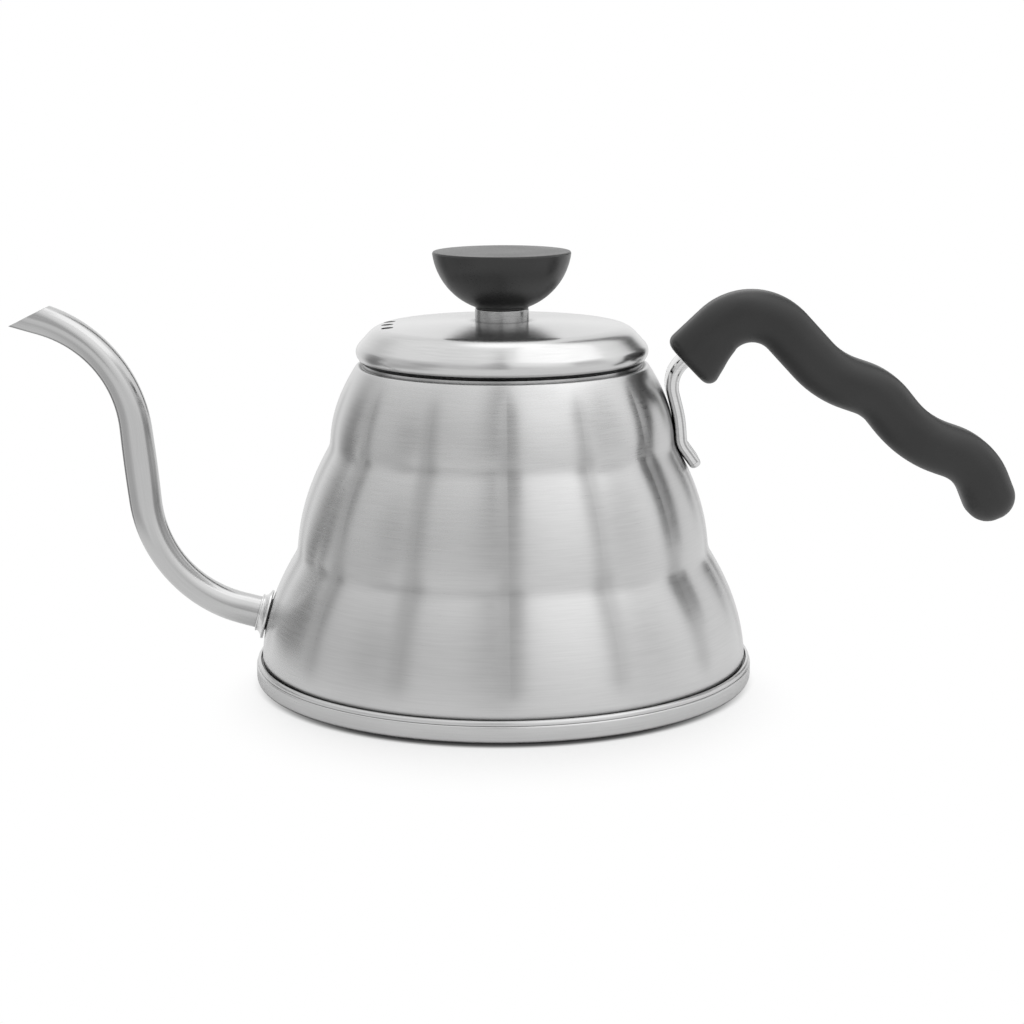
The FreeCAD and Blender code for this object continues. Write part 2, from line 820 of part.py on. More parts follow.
def cut_screw_way(body):
    """Counterbore for the head, hole for the shank and pocket for the insert."""
    seat = -at.grip_head_floor
    head = screw_sketch(body, "head_circle", seat - at.grip_height)
    circle_in(head, at.grip_head_radius + at.head_clearance)
    bore(body, "head_counterbore", head, at.grip_height)
    shank = screw_sketch(body, "shank_circle")
    circle_in(shank, at.grip_screw_radius + at.screw_clearance)
    bore(body, "shank_hole", shank, at.grip_height)
    pocket = screw_sketch(body, "insert_circle", insert_seat())
    circle_in(pocket, at.grip_insert_radius + at.insert_clearance)
    bore(body, "insert_pocket", pocket, at.grip_insert_length + at.insert_gap)


def insert_seat():
    """Height of the grip insert's lower face above the grip's axis: the slot's upper side."""
    return at.tang_rise + at.strap_depth / 2 + at.slot_clearance


def on_grip_screw(body, up):
    """Seats a turned piece on the grip screw's axis, its own +Z pointing to the grip's top."""
    place = on_grip(at.grip_screw_place, up)
    set_place(body, place[0], place[1], -at.grip_angle)


def make_screw(label, head_radius, head_height, radius, length):
    """Round-headed screw: the head hangs below z = 0 and the shank stands on it."""
    body = new_body(label)
    revolve(body, "screw", (
        (0, -head_height),
        (head_radius, -head_height, head_height / 2),
        (head_radius, 0),
        (radius, 0),
        (radius, length),
        (0, length)))
    return body


def make_ring(label, hole, rim, height):
    body = new_body(label)
    revolve(body, "ring", ((hole, 0), (rim, 0), (rim, height), (hole, height)))
    return body


def make_handle_screw():
    body = make_screw("handle_screw", at.grip_head_radius, at.grip_head_height,
                      at.grip_screw_radius, at.grip_screw_length)
    on_grip_screw(body, -at.grip_head_floor - at.spring_washer)
    return body


def make_handle_spring_washer():
    hole = at.grip_screw_radius + at.screw_clearance
    body = make_ring("handle_spring_washer", hole, hole + at.spring_washer_width, at.spring_washer)
    half = at.spring_washer_split / 2
    reach = hole + at.spring_washer_width * 2
    split = outline(sketch_on(body, "split_outline", "XY_Plane", at.spring_washer), (
        (-reach, -half), (0, -half), (0, half), (-reach, half)))
    bore(body, "split", split, at.spring_washer)
    on_grip_screw(body, -at.grip_head_floor - at.spring_washer)
    return body


def make_handle_insert():
    body = make_ring("handle_insert", at.grip_screw_radius + at.thread_clearance,
                     at.grip_insert_radius, at.grip_insert_length)
    on_grip_screw(body, insert_seat())
    return body


# Lid

def make_lid_cap():
    body = new_body("lid_cap")
    hole = at.knob_screw_radius + at.screw_clearance
    inside = lid_radius - at.lid_metal
    hem = lid_radius - at.lid_hem_width
    hem_top = mouth_height + at.lid_hem_height
    revolve(body, "cap", (
        (hole, lid_top),
        (lid_radius, lid_top, at.lid_shoulder_round),
        (lid_radius, mouth_height, at.lid_bead_round),
        (hem, mouth_height),
        (hem, hem_top),
        (inside, hem_top),
        (inside, lid_top - at.lid_metal, at.lid_shoulder_round - at.lid_metal),
        (hole, lid_top - at.lid_metal)))
    steam_circle = lid_radius - at.lid_shoulder_round - at.steam_hole_inset
    side = 180 - at.steam_hole_spread / 2
    circle = circle_in(sketch_on(body, "steam_circle", "XY_Plane", lid_top), at.steam_hole_radius,
                       steam_circle * cosine(side), steam_circle * sine(side))
    steam = bore(body, "steam_hole", circle, at.lid_metal * 2)
    doc.recompute()
    row = body.newObject("PartDesign::PolarPattern", "steam_holes")
    row.Originals = [steam]
    row.Axis = (circle, ["N_Axis"])
    row.Occurrences = STEAM_HOLES
    row.Angle = at.steam_hole_spread.value
    row.setExpression("Angle", at.steam_hole_spread.formula)
    body.Tip = row
    return body


def make_lid_plug_ring():
    """Ring under the cap that plugs into the neck; its sloping flange follows the cap's shoulder."""
    body = new_body("lid_plug_ring")
    outside = at.neck_radius - at.plug_clearance
    inside = outside - at.plug_metal
    centre = (lid_radius - at.lid_shoulder_round, lid_top - at.lid_shoulder_round)
    under = at.lid_shoulder_round - at.lid_metal - at.weld_gap

    def below_cap(radius):
        out = radius - centre[0]
        return centre[1] + square_root(under * under - out * out)

    tongue = outside - at.plug_flange
    knee = below_cap(outside)
    end = below_cap(tongue)
    bottom = mouth_height - at.plug_depth
    revolve(body, "plug", (
        (outside, bottom),
        (outside, knee, at.plug_knee_round),
        (tongue, end),
        (tongue, end - at.plug_metal),
        (inside, knee - at.plug_metal),
        (inside, bottom)))
    return body


def make_knob_collar():
    body = new_body("knob_collar")
    hole = at.knob_screw_radius + at.screw_clearance
    revolve(body, "collar", (
        (hole, lid_top),
        (at.knob_collar_radius, lid_top, at.knob_collar_round),
        (at.knob_collar_radius, knob_foot, at.knob_collar_round),
        (hole, knob_foot)))
    return body


def make_lid_knob():
    """Bowl-shaped knob with a flat top and a blind hole for its insert."""
    body = new_body("lid_knob")
    hole = at.knob_insert_radius + at.insert_clearance
    deep = knob_foot + at.knob_insert_inset + at.knob_insert_length + at.knob_bore_spare
    top = knob_foot + at.knob_height
    revolve(body, "bowl", (
        (hole, knob_foot),
        (at.knob_foot_radius, knob_foot),
        (at.knob_foot_radius, knob_foot + at.knob_foot_rise),
        (at.knob_belly_radius, knob_foot + at.knob_belly_height, at.knob_belly_round),
        (at.knob_radius, top - at.knob_rim_drop),
        (at.knob_radius - at.knob_rim_drop / 2, top, at.knob_rim_round),
        (0, top),
        (0, deep),
        (hole, deep)))
    return body


def make_knob_insert():
    body = make_ring("knob_insert", at.knob_screw_radius + at.thread_clearance,
                     at.knob_insert_radius, at.knob_insert_length)
    set_place(body, as_size(0), knob_foot + at.knob_insert_inset, as_size(0))
    return body


def make_knob_washer():
    body = make_ring("knob_washer", at.knob_screw_radius + at.screw_clearance,
                     at.knob_washer_radius, at.knob_washer)
    set_place(body, as_size(0), lid_top - at.lid_metal - at.knob_washer, as_size(0))
    return body


def make_knob_screw():
    body = make_screw("knob_screw", at.knob_head_radius, at.knob_head_height,
                      at.knob_screw_radius, at.knob_screw_reach)
    set_place(body, as_size(0), lid_top - at.lid_metal - at.knob_washer, as_size(0))
    return body


# The whole kettle

pieces = [
    make_body_shell(),
    make_base_pan(),
    make_spout_tube(),
    make_spout_collar(),
    make_handle_bracket(),
    make_handle_grip(),
    make_handle_screw(),
    make_handle_spring_washer(),
    make_handle_insert(),
    make_lid_cap(),
    make_lid_plug_ring(),
    make_lid_knob(),
    make_knob_collar(),
    make_knob_insert(),
    make_knob_washer(),
    make_knob_screw(),
]
doc.recompute()

failed = [item.Name for item in doc.Objects if "Invalid" in item.State or "Error" in item.State]
if failed:
    raise RuntimeError("failed features: " + ", ".join(failed))
for piece in pieces:
    shape = piece.Shape
    if shape.isNull() or not shape.isValid() or len(shape.Solids) != 1:
        raise RuntimeError("bad solid: " + piece.Label)

os.makedirs("parts", exist_ok=True)
for piece in pieces:
    piece.Shape.exportStep("parts/%s.step" % piece.Label)
    print("%-22s %9.1f mm3" % (piece.Label, piece.Shape.Volume))
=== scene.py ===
import logging
import math
from dataclasses import dataclass
from enum import Enum
from typing import Sequence

import bmesh
import bpy
from mathutils import Matrix, Vector


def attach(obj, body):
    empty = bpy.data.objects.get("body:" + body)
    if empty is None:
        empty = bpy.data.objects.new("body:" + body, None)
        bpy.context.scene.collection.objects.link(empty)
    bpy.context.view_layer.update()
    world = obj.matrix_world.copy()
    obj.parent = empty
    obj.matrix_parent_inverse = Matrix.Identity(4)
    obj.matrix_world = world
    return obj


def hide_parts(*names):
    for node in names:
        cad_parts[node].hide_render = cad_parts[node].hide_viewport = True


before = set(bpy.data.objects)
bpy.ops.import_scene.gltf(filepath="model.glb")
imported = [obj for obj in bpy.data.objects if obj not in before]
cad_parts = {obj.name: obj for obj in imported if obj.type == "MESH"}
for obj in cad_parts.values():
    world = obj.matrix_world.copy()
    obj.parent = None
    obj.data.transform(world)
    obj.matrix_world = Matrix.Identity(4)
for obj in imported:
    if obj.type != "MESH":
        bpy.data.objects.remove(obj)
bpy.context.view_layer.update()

MM = 0.001
RISING = (0.0, 1.0)
FALLING = (1.0, 0.0)
# Most values of a soft noise lie in this range.
NOISE_SPAN = (0.3, 0.7)
# Radius of an edge that is left crisp.
CRISP = 0.1 * MM
QUARTER_TURN = 90
Piece = bpy.types.Object
Material = bpy.types.Material
Socket = bpy.types.NodeSocket
Pair = tuple[float, float]
Triple = tuple[float, float, float]
log = logging.getLogger("kettle")


@dataclass(frozen=True)
class Corner:
    """A corner of an outline in its own plane.

    Args:
        x: First coordinate, in metres.
        y: Second coordinate, in metres.
        radius: Radius of the arc that rounds the corner, or 0 for a sharp one.
    """

    x: float
    y: float
    radius: float = 0.0

    def spot(self) -> Vector:
        """The corner as a plane vector."""
        return Vector((self.x, self.y))


@dataclass
class Outline:
    """Straight runs between corners, rounded by tangent arcs.

    Args:
        corners: The corners in order.
        closed: Whether the last corner joins the first.
        arc_step: Angle between two points of an arc, in degrees.
        run_step: Longest distance between two points of a straight run, in metres.
    """

    corners: Sequence[Corner]
    closed: bool = True
    arc_step: float = 6.0
    run_step: float = 1.0

    def points(self) -> list[Vector]:
        """Points along the outline.

        Returns:
            Plane vectors in order, without repeating the first at the end.
        """
        count = len(self.corners)
        spots: list[Vector] = []
        for index, corner in enumerate(self.corners):
            ends = not self.closed and index in (0, count - 1)
            if ends or corner.radius <= 0.0:
                arc = [corner.spot()]
            else:
                arc = self._arc(self.corners[index - 1], corner, self.corners[(index + 1) % count])
            if spots:
                spots.extend(self._run(spots[-1], arc[0]))
            spots.extend(arc)
        if self.closed:
            spots.extend(self._run(spots[-1], spots[0]))
        return spots

    def _run(self, start: Vector, end: Vector) -> list[Vector]:
        """Points strictly between two ends of a straight run."""
        parts = max(1, math.ceil((end - start).length / self.run_step))
        return [start.lerp(end, part / parts) for part in range(1, parts)]

    def _arc(self, before: Corner, corner: Corner, after: Corner) -> list[Vector]:
        """Points of the arc that rounds one corner.

        Args:
            before: The corner before it.
            corner: The corner to round.
            after: The corner after it.

        Returns:
            Plane vectors from one end of the arc to the other.
        """
        back = (before.spot() - corner.spot()).normalized()
        onward = (after.spot() - corner.spot()).normalized()
        half = back.angle(onward) / 2.0
        centre = corner.spot() + (back + onward).normalized() * (corner.radius / math.sin(half))
        start = corner.spot() + back * (corner.radius / math.tan(half)) - centre
        sweep = math.pi - 2.0 * half
        turn = sweep if back.cross(onward) < 0.0 else -sweep
        parts = max(2, math.ceil(math.degrees(sweep) / self.arc_step))
        return [centre + Matrix.Rotation(turn * part / parts, 2) @ start for part in range(parts + 1)]


def placed(name: str, data: bpy.types.ID) -> Piece:
    """Makes an object and links it to the scene.

    Args:
        name: Name of the object.
        data: Its mesh, camera or lamp.

    Returns:
        The new object.
    """
    made = bpy.data.objects.new(name, data)
    bpy.context.scene.collection.objects.link(made)
    return made


class Skin:
    """Quads between rings of points, gathered into one mesh.

    Args:
        name: Name of the object and of its mesh.
    """

    def __init__(self, name: str) -> None:
        """Starts an empty skin."""
        self.name = name
        self.spots: list[Vector] = []
        self.faces: list[list[int]] = []
        self.marks: list[list[Pair]] = []
        self.crease_shades: list[float] = []

    def ring(self, points: Sequence[Vector]) -> list[int]:
        """Adds the points of one ring.

        Args:
            points: The points in order.

        Returns:
            Their numbers.
        """
        first = len(self.spots)
        self.spots.extend(points)
        return list(range(first, first + len(points)))

    def join(self, rings: Sequence[list[int]], closed: bool, along: Sequence[float] | None = None) -> None:
        """Joins a row of rings by quads.

        Args:
            rings: Numbers of each ring's points.
            closed: Whether the last ring joins the first; otherwise a face closes each end.
            along: Distance of each ring along the piece, for its surface map.
        """
        row = list(zip(rings, along or [0.0] * len(rings)))
        onward = row[1:] + row[:1] if closed else row[1:]
        for (lower, low), (upper, high) in zip(row, onward):
            self._bridge(lower, upper, low, high)
        if not closed:
            self._cap(rings[0][::-1])
            self._cap(rings[-1])

    def _bridge(self, lower: list[int], upper: list[int], low: float, high: float) -> None:
        """Joins two rings of the same count by quads.

        Args:
            lower: Numbers of the first ring.
            upper: Numbers of the second ring.
            low: Distance of the first ring along the piece.
            high: Distance of the second ring along the piece.
        """
        count = len(lower)
        for here in range(count):
            there = (here + 1) % count
            left, right = here / count, (here + 1) / count
            self.faces.append([lower[here], lower[there], upper[there], upper[here]])
            self.marks.append([(low, left), (low, right), (high, right), (high, left)])

    def _cap(self, ring: list[int]) -> None:
        """Closes a ring with one face."""
        self.faces.append(ring)
        self.marks.append([(0.0, 0.0)] * len(ring))

    def finished(self, sharp: float) -> Piece:
        """Makes the object.

        Args:
            sharp: Angle above which an edge stays sharp, in degrees.

        Returns:
            The new object, linked to the scene.
        """
        mesh = bpy.data.meshes.new(self.name)
        mesh.from_pydata([tuple(spot) for spot in self.spots], [], self.faces)
        layer = mesh.uv_layers.new(name="surface")
        layer.data.foreach_set("uv", [value for face in self.marks for mark in face for value in mark])
        # Painted shade for the flute creases, kept per point for the metal's colour.
        if self.crease_shades:
            mesh.attributes.new("crease_shade", "FLOAT", "POINT").data.foreach_set("value", self.crease_shades)
        mesh.shade_smooth()
        mesh.set_sharp_from_angle(angle=math.radians(sharp))
        return placed(self.name, mesh)


def around(count: int) -> list[float]:
    """Angles of points spread evenly around a circle."""
    return [2.0 * math.pi * step / count for step in range(count)]


def turned(name: str, profile: Sequence[Vector], place: Matrix, steps: int, sharp: float,
           closed: bool = True) -> Piece:
    """Turns a profile about an axis.

    Args:
        name: Name of the piece.
        profile: Radius and height of each point, in order along the section.
        place: Where the axis stands; its own Z is the axis.
        steps: Number of points around.
        sharp: Angle above which an edge stays sharp, in degrees.
        closed: Whether the section is a loop; otherwise a flat disc closes each of its ends.

    Returns:
        The piece's object.
    """
    skin = Skin(name)
    rings = []
    ways = [(math.cos(angle), math.sin(angle)) for angle in around(steps)]
    for spot in profile:
        ring = [Vector((spot.x * across, spot.x * ahead, spot.y)) for across, ahead in ways]
        rings.append(skin.ring([place @ point for point in ring]))
    skin.join(rings, closed)
    return skin.finished(sharp)


def tidy_normals(piece: Piece) -> Piece:
    """Turns every face of a piece outwards.

    Args:
        piece: The piece to tidy.

    Returns:
        The same piece.
    """
    work = bmesh.new()
    work.from_mesh(piece.data)
    bmesh.ops.recalc_face_normals(work, faces=work.faces)
    work.to_mesh(piece.data)
    work.free()
    return piece


@dataclass(frozen=True)
class Punch:
    """A round punch for thin metal.

    Args:
        radius: Radius of the hole that it leaves.
        depth: Length of the punch.
        sides: Number of flat sides that make up the round.
    """

    radius: float
    depth: float
    sides: int

    def pierce(self, piece: Piece, places: Sequence[Matrix], sharp: float) -> Piece:
        """Punches holes through a piece.

        Args:
            piece: The piece to pierce.
            places: Middle of each hole; its own Z is the punch's axis.
            sharp: Angle above which an edge stays sharp, in degrees.

        Returns:
            The same piece, with the holes in it.
        """
        work = bmesh.new()
        for place in places:
            bmesh.ops.create_cone(work, cap_ends=True, segments=self.sides, radius1=self.radius,
                                  radius2=self.radius, depth=self.depth, matrix=place)
        mesh = bpy.data.meshes.new("punches")
        work.to_mesh(mesh)
        work.free()
        punches = placed("punches", mesh)
        cut = piece.modifiers.new("holes", "BOOLEAN")
        cut.object = punches
        cut.solver = "EXACT"
        bpy.context.view_layer.update()
        pierced = bpy.data.meshes.new_from_object(piece.evaluated_get(bpy.context.evaluated_depsgraph_get()))
        piece.modifiers.clear()
        piece.data = pierced
        bpy.data.objects.remove(punches)
        pierced.set_sharp_from_angle(angle=math.radians(sharp))
        return tidy_normals(piece)


@dataclass
class SidePath:
    """A bent line in the kettle's middle plane.

    Args:
        corners: Its corners in side view.
        run_step: Longest distance between two stations of a straight run, in metres.
        arc_step: Angle between two stations of a bend, in degrees.
    """

    corners: Sequence[Corner]
    run_step: float
    arc_step: float = 3.0

    def __post_init__(self) -> None:
        """Places the stations and measures the way to each."""
        outline = Outline(self.corners, closed=False, arc_step=self.arc_step, run_step=self.run_step)
        self.spots = outline.points()
        self.lengths = [0.0]
        for before, after in zip(self.spots, self.spots[1:]):
            self.lengths.append(self.lengths[-1] + (after - before).length)

    def way(self, index: int) -> Vector:
        """Direction of the line at one station.

        Args:
            index: Number of the station.

        Returns:
            The unit direction in side view.
        """
        before = self.spots[max(0, index - 1)]
        after = self.spots[min(len(self.spots) - 1, index + 1)]
        return (after - before).normalized()

    def ring(self, index: int, section: Sequence[Vector], ahead: float = 0.0) -> list[Vector]:
        """A section set square across the line.

        Args:
            index: Number of the station.
            section: Points of the section: across the middle plane and up from the line.
            ahead: Distance to shift the section along the line.

        Returns:
            The section's points in space.
        """
        way = self.way(index)
        up = Vector((-way.y, way.x))
        spot = self.spots[index] + way * ahead
        places = [(spot + up * mark.y, mark.x) for mark in section]
        return [Vector((place.x, across, place.y)) for place, across in places]


def eased(share: float) -> float:
    """A share from 0 to 1 that starts and ends gently."""
    held = min(1.0, max(0.0, share))
    return held * held * (3.0 - 2.0 * held)


class Graph:
    """A node tree with short calls to add and join nodes.

    Args:
        tree: The tree to fill; its nodes are cleared first.
    """

    def __init__(self, tree: bpy.types.NodeTree) -> None:
        """Clears the tree."""
        self.tree = tree
        self.tree.nodes.clear()

    def add(self, kind: str, inputs: dict | None = None, **settings: object) -> bpy.types.Node:
        """Adds a node.

        Args:
            kind: Node type without its common prefix.
            inputs: Values or output sockets for the node's inputs, by name or number.
            settings: Properties of the node itself.

        Returns:
            The new node.
        """
        node = self.tree.nodes.new("ShaderNode" + kind)
        for key, value in settings.items():
            setattr(node, key, value)
        for key, value in (inputs or {}).items():
            if isinstance(value, Socket):
                self.tree.links.new(value, node.inputs[key])
            else:
                node.inputs[key].default_value = value
        return node

    def place(self) -> Socket:
        """Place of the shaded point in the piece's own frame."""
        return self.add("TexCoord").outputs["Object"]

    def parts(self, vector: Socket) -> list[Socket]:
        """The three parts of a vector."""
        return list(self.add("SeparateXYZ", {0: vector}).outputs)

    def maths(self, operation: str, first: object, second: object = 0.0) -> Socket:
        """A number worked out from two others."""
        return self.add("Math", {0: first, 1: second}, operation=operation).outputs[0]

    def product(self, *factors: object) -> Socket:
        """Several numbers multiplied.

        Args:
            factors: Two or more numbers.

        Returns:
            Their product.
        """
        result = factors[0]
        for factor in factors[1:]:
            result = self.maths("MULTIPLY", result, factor)
        return result

    def mix(self, share: object, first: object, second: object) -> Socket:
        """A number that lies a share of the way from one number to another."""
        return self.add("Mix", {0: share, 2: first, 3: second}, data_type="FLOAT").outputs[0]

    def remap(self, value: object, span: Pair, target: Pair) -> Socket:
        """A number moved smoothly from one span to another."""
        inputs = {0: value, 1: span[0], 2: span[1], 3: target[0], 4: target[1]}
        return self.add("MapRange", inputs, interpolation_type="SMOOTHSTEP").outputs[0]

    def noise(self, vector: object, scale: float, detail: float, rough: float = 0.5) -> Socket:
        """Soft noise from 0 to 1."""
        inputs = {"Vector": vector, "Scale": scale, "Detail": detail, "Roughness": rough}
        return self.add("TexNoise", inputs).outputs["Fac"]

    def relief(self, height: Socket, strength: float, distance: float) -> Socket:
        """A normal that follows a height."""
        inputs = {"Height": height, "Strength": strength, "Distance": distance}
        return self.add("Bump", inputs).outputs[0]

    def grey(self, value: object) -> Socket:
        """A neutral colour of one brightness."""
        return self.add("CombineColor", {0: value, 1: value, 2: value}).outputs[0]

    def views(self) -> tuple[Socket, Socket]:
        """Tells rays apart.

        Returns:
            Whether the camera looks, and whether the camera, a reflection or a see-through piece does.
        """
        path = self.add("LightPath").outputs
        mirrored = self.maths("MAXIMUM", path["Is Glossy Ray"], path["Is Transmission Ray"])
        return path["Is Camera Ray"], self.maths("MAXIMUM", path["Is Camera Ray"], mirrored)


@dataclass(frozen=True)
class Finish:
    """A finish made of nodes.

    Args:
        name: Name of the material.
    """

    name: str

    def shader(self, graph: Graph) -> Socket:
        """Adds the nodes of the finish; each kind has its own."""
        raise NotImplementedError

    def material(self) -> Material:
        """Builds the material.

        Returns:
            The material, with the finish's shader as its surface.
        """
        made = bpy.data.materials.new(self.name)
        made.use_nodes = True
        graph = Graph(made.node_tree)
        graph.add("OutputMaterial", {"Surface": self.shader(graph)})
        return made


def swing(middle: float, share: float) -> Pair:
    """A span that reaches a share of a value to each side of it."""
    return middle * (1.0 - share), middle * (1.0 + share)


class Brush(Enum):
    """Which way the fine lines of a brushed surface run."""

    AROUND = "around the vertical axis"
    ALONG = "along the piece, by its surface map"


@dataclass(frozen=True)
class BrushedSteel(Finish):
    """Stainless sheet with fine brushing.

    Args:
        tone: Brightness of the metal.
        spread: How far the roughness varies.
        pull: Strength of the stretched highlight.
        depth: Strength of the brushing's relief.
        crease_shade: Share by which the metal's colour is darkened in a flute crease, as painted shade.
        reach: How near another surface must be for shade to be painted into a seam or gap.
        open_at: Share of open view from which a surface gets no painted shade.
        closed_at: Share of open_at at which the painted seam shade is darkest.
        streak_tone: Share by which the tone varies from streak to streak.
        cloud_tone: Share by which it varies over wider clouds.
        fine: Streaks per metre across brushing that runs around.
        long: Streaks per radian along it.
        mapped: Streaks per metre along a mapped piece, and once around it.
    """

    tone: float
    roughness: float
    spread: float
    pull: float
    brush: Brush
    depth: float
    crease_shade: float = 0.0
    reach: float = 2.0 * MM
    open_at: float = 0.6
    closed_at: float = 0.47
    # Colour left in the darkest seam: painted shade from ambient occlusion.
    seam_shade_tone: float = 0.07
    streak_tone: float = 0.04
    cloud_tone: float = 0.015
    tone_span: Pair = (0.25, 0.75)
    rough_span: Pair = (0.2, 0.8)
    fine: float = 2600.0
    long: float = 5.0
    mapped: Pair = (60.0, 90.0)

    def shader(self, graph: Graph) -> Socket:
        """Adds a metal whose tone, roughness and relief follow long thin streaks.

        Args:
            graph: The material's nodes.

        Returns:
            The shader.
        """
        place = graph.place()
        streak = graph.noise(self._lines(graph), scale=1.0, detail=4.0, rough=0.65)
        cloud = graph.noise(place, scale=45.0, detail=3.0)
        worn = graph.noise(place, scale=9.0, detail=2.0)
        # Painted crease shade, read from the shell's point attribute.
        fold = graph.add("Attribute", attribute_name="crease_shade").outputs["Fac"]
        open_share = graph.add("AmbientOcclusion", {"Distance": self.reach}, samples=6).outputs["AO"]
        # The colour carries painted shade: darker in flute creases by the point attribute, and darker in
        # seams and gaps by ambient occlusion.
        tone = graph.product(
            graph.remap(streak, self.tone_span, swing(self.tone, self.streak_tone)),
            graph.remap(cloud, NOISE_SPAN, swing(1.0, self.cloud_tone)),
            graph.remap(fold, RISING, (1.0, 1.0 - self.crease_shade)),
            graph.remap(open_share, (self.open_at * self.closed_at, self.open_at), (self.seam_shade_tone, 1.0)))
        low, high = self.roughness - self.spread, self.roughness + self.spread
        rough = graph.maths("ADD", graph.remap(streak, self.rough_span, (low, high)),
                            graph.remap(worn, NOISE_SPAN, (-self.spread, self.spread)))
        inputs = {
            "Base Color": graph.grey(tone), "Metallic": 1.0, "Roughness": rough, "Anisotropic": self.pull,
            "Normal": graph.relief(streak, self.depth, distance=0.05 * MM)}
        if self.brush is Brush.AROUND:
            inputs["Anisotropic Rotation"] = 0.25
            inputs["Tangent"] = graph.add("Tangent", direction_type="RADIAL", axis="Z").outputs[0]
        return graph.add("BsdfPrincipled", inputs).outputs[0]

    def _lines(self, graph: Graph) -> Socket:
        """Finds coordinates that change fast across the brushing and slowly along it.

        Args:
            graph: The material's nodes.

        Returns:
            The coordinates.
        """
        if self.brush is Brush.ALONG:
            along, across, _ = graph.parts(graph.add("UVMap", uv_map="surface").outputs[0])
            lines = [graph.product(along, self.mapped[0]), graph.product(across, self.mapped[1])]
        else:
            x, y, z = graph.parts(graph.place())
            squares = graph.maths("ADD", graph.product(x, x), graph.product(y, y))
            lines = [graph.product(graph.maths("ARCTAN2", y, x), self.long),
                     graph.product(graph.maths("SQRT", squares), self.fine), graph.product(z, self.fine)]
        return graph.add("CombineXYZ", dict(enumerate(lines))).outputs[0]


@dataclass(frozen=True)
class PolishedSteel(Finish):
    """Bright metal with faint waviness and hairline scratches.

    Args:
        colour: Metal colour.
        roughness: Mean roughness.
        relief: Strength of the waviness.
        stretch: How far the scratches are drawn out, by direction.
        dulled: Share of the colour that is left in a scratch.
        tint_span: Span of the scratches over which the colour dulls.
        rough_span: Span of the scratches over which the roughness grows.
        rough_shares: Shares of the mean roughness at the ends of that span.
    """

    colour: Triple
    roughness: float
    relief: float
    stretch: Triple = (1.0, 1.0, 14.0)
    dulled: float = 0.9
    tint_span: Pair = (0.35, 0.7)
    rough_span: Pair = (0.3, 0.75)
    rough_shares: Pair = (0.7, 1.5)

    def shader(self, graph: Graph) -> Socket:
        """Adds a smooth metal that is not a perfect mirror.

        Args:
            graph: The material's nodes.

        Returns:
            The shader.
        """
        place = graph.place()
        wave = graph.noise(place, scale=260.0, detail=2.0)
        drawn_out = graph.add("Mapping", {"Vector": place, "Scale": self.stretch}).outputs[0]
        hair = graph.noise(drawn_out, scale=420.0, detail=4.0)
        bright = (*self.colour, 1.0)
        dull = (*(value * self.dulled for value in self.colour), 1.0)
        tint = graph.add("MixRGB", {0: graph.remap(hair, self.tint_span, RISING), 1: bright, 2: dull})
        smooth, scratched = (self.roughness * share for share in self.rough_shares)
        rough = graph.remap(hair, self.rough_span, (smooth, scratched))
        return graph.add("BsdfPrincipled", {
            "Base Color": tint.outputs[0], "Metallic": 1.0, "Roughness": rough,
            "Normal": graph.relief(wave, self.relief, distance=0.1 * MM)}).outputs[0]


@dataclass(frozen=True)
class Phenolic(Finish):
    """Moulded black resin with a satin skin.

    Args:
        tone: Brightness of the resin.
        roughness: Mean roughness.
        grain: Strength of the moulded grain.
        cloud_tone: Share by which the tone varies over wide clouds.
        grain_tone: Share by which it varies from grain to grain.
        rubbed: Roughness that is added where the skin is rubbed, and where it is not.
        grain_rough: How far the roughness varies from grain to grain.
    """

    tone: float
    roughness: float
    grain: float
    cloud_tone: float = 0.12
    grain_tone: float = 0.1
    rubbed: Pair = (-0.06, 0.05)
    grain_rough: float = 0.04

    def shader(self, graph: Graph) -> Socket:
        """Adds a dark resin with fine grain, faint clouds and rubbed spots.

        Args:
            graph: The material's nodes.

        Returns:
            The shader.
        """
        place = graph.place()
        grain = graph.noise(place, scale=2400.0, detail=3.0, rough=0.6)
        cloud = graph.noise(place, scale=70.0, detail=3.0)
        worn = graph.noise(place, scale=28.0, detail=2.0)
        tone = graph.product(graph.remap(cloud, NOISE_SPAN, swing(self.tone, self.cloud_tone)),
                             graph.remap(grain, NOISE_SPAN, swing(1.0, self.grain_tone)))
        low, high = (self.roughness + change for change in self.rubbed)
        rough = graph.maths("ADD", graph.remap(worn, NOISE_SPAN, (low, high)),
                            graph.remap(grain, NOISE_SPAN, (-self.grain_rough, self.grain_rough)))
        return graph.add("BsdfPrincipled", {
            "Base Color": graph.grey(tone), "Roughness": rough,
            "Normal": graph.relief(grain, self.grain, distance=0.06 * MM)}).outputs[0]


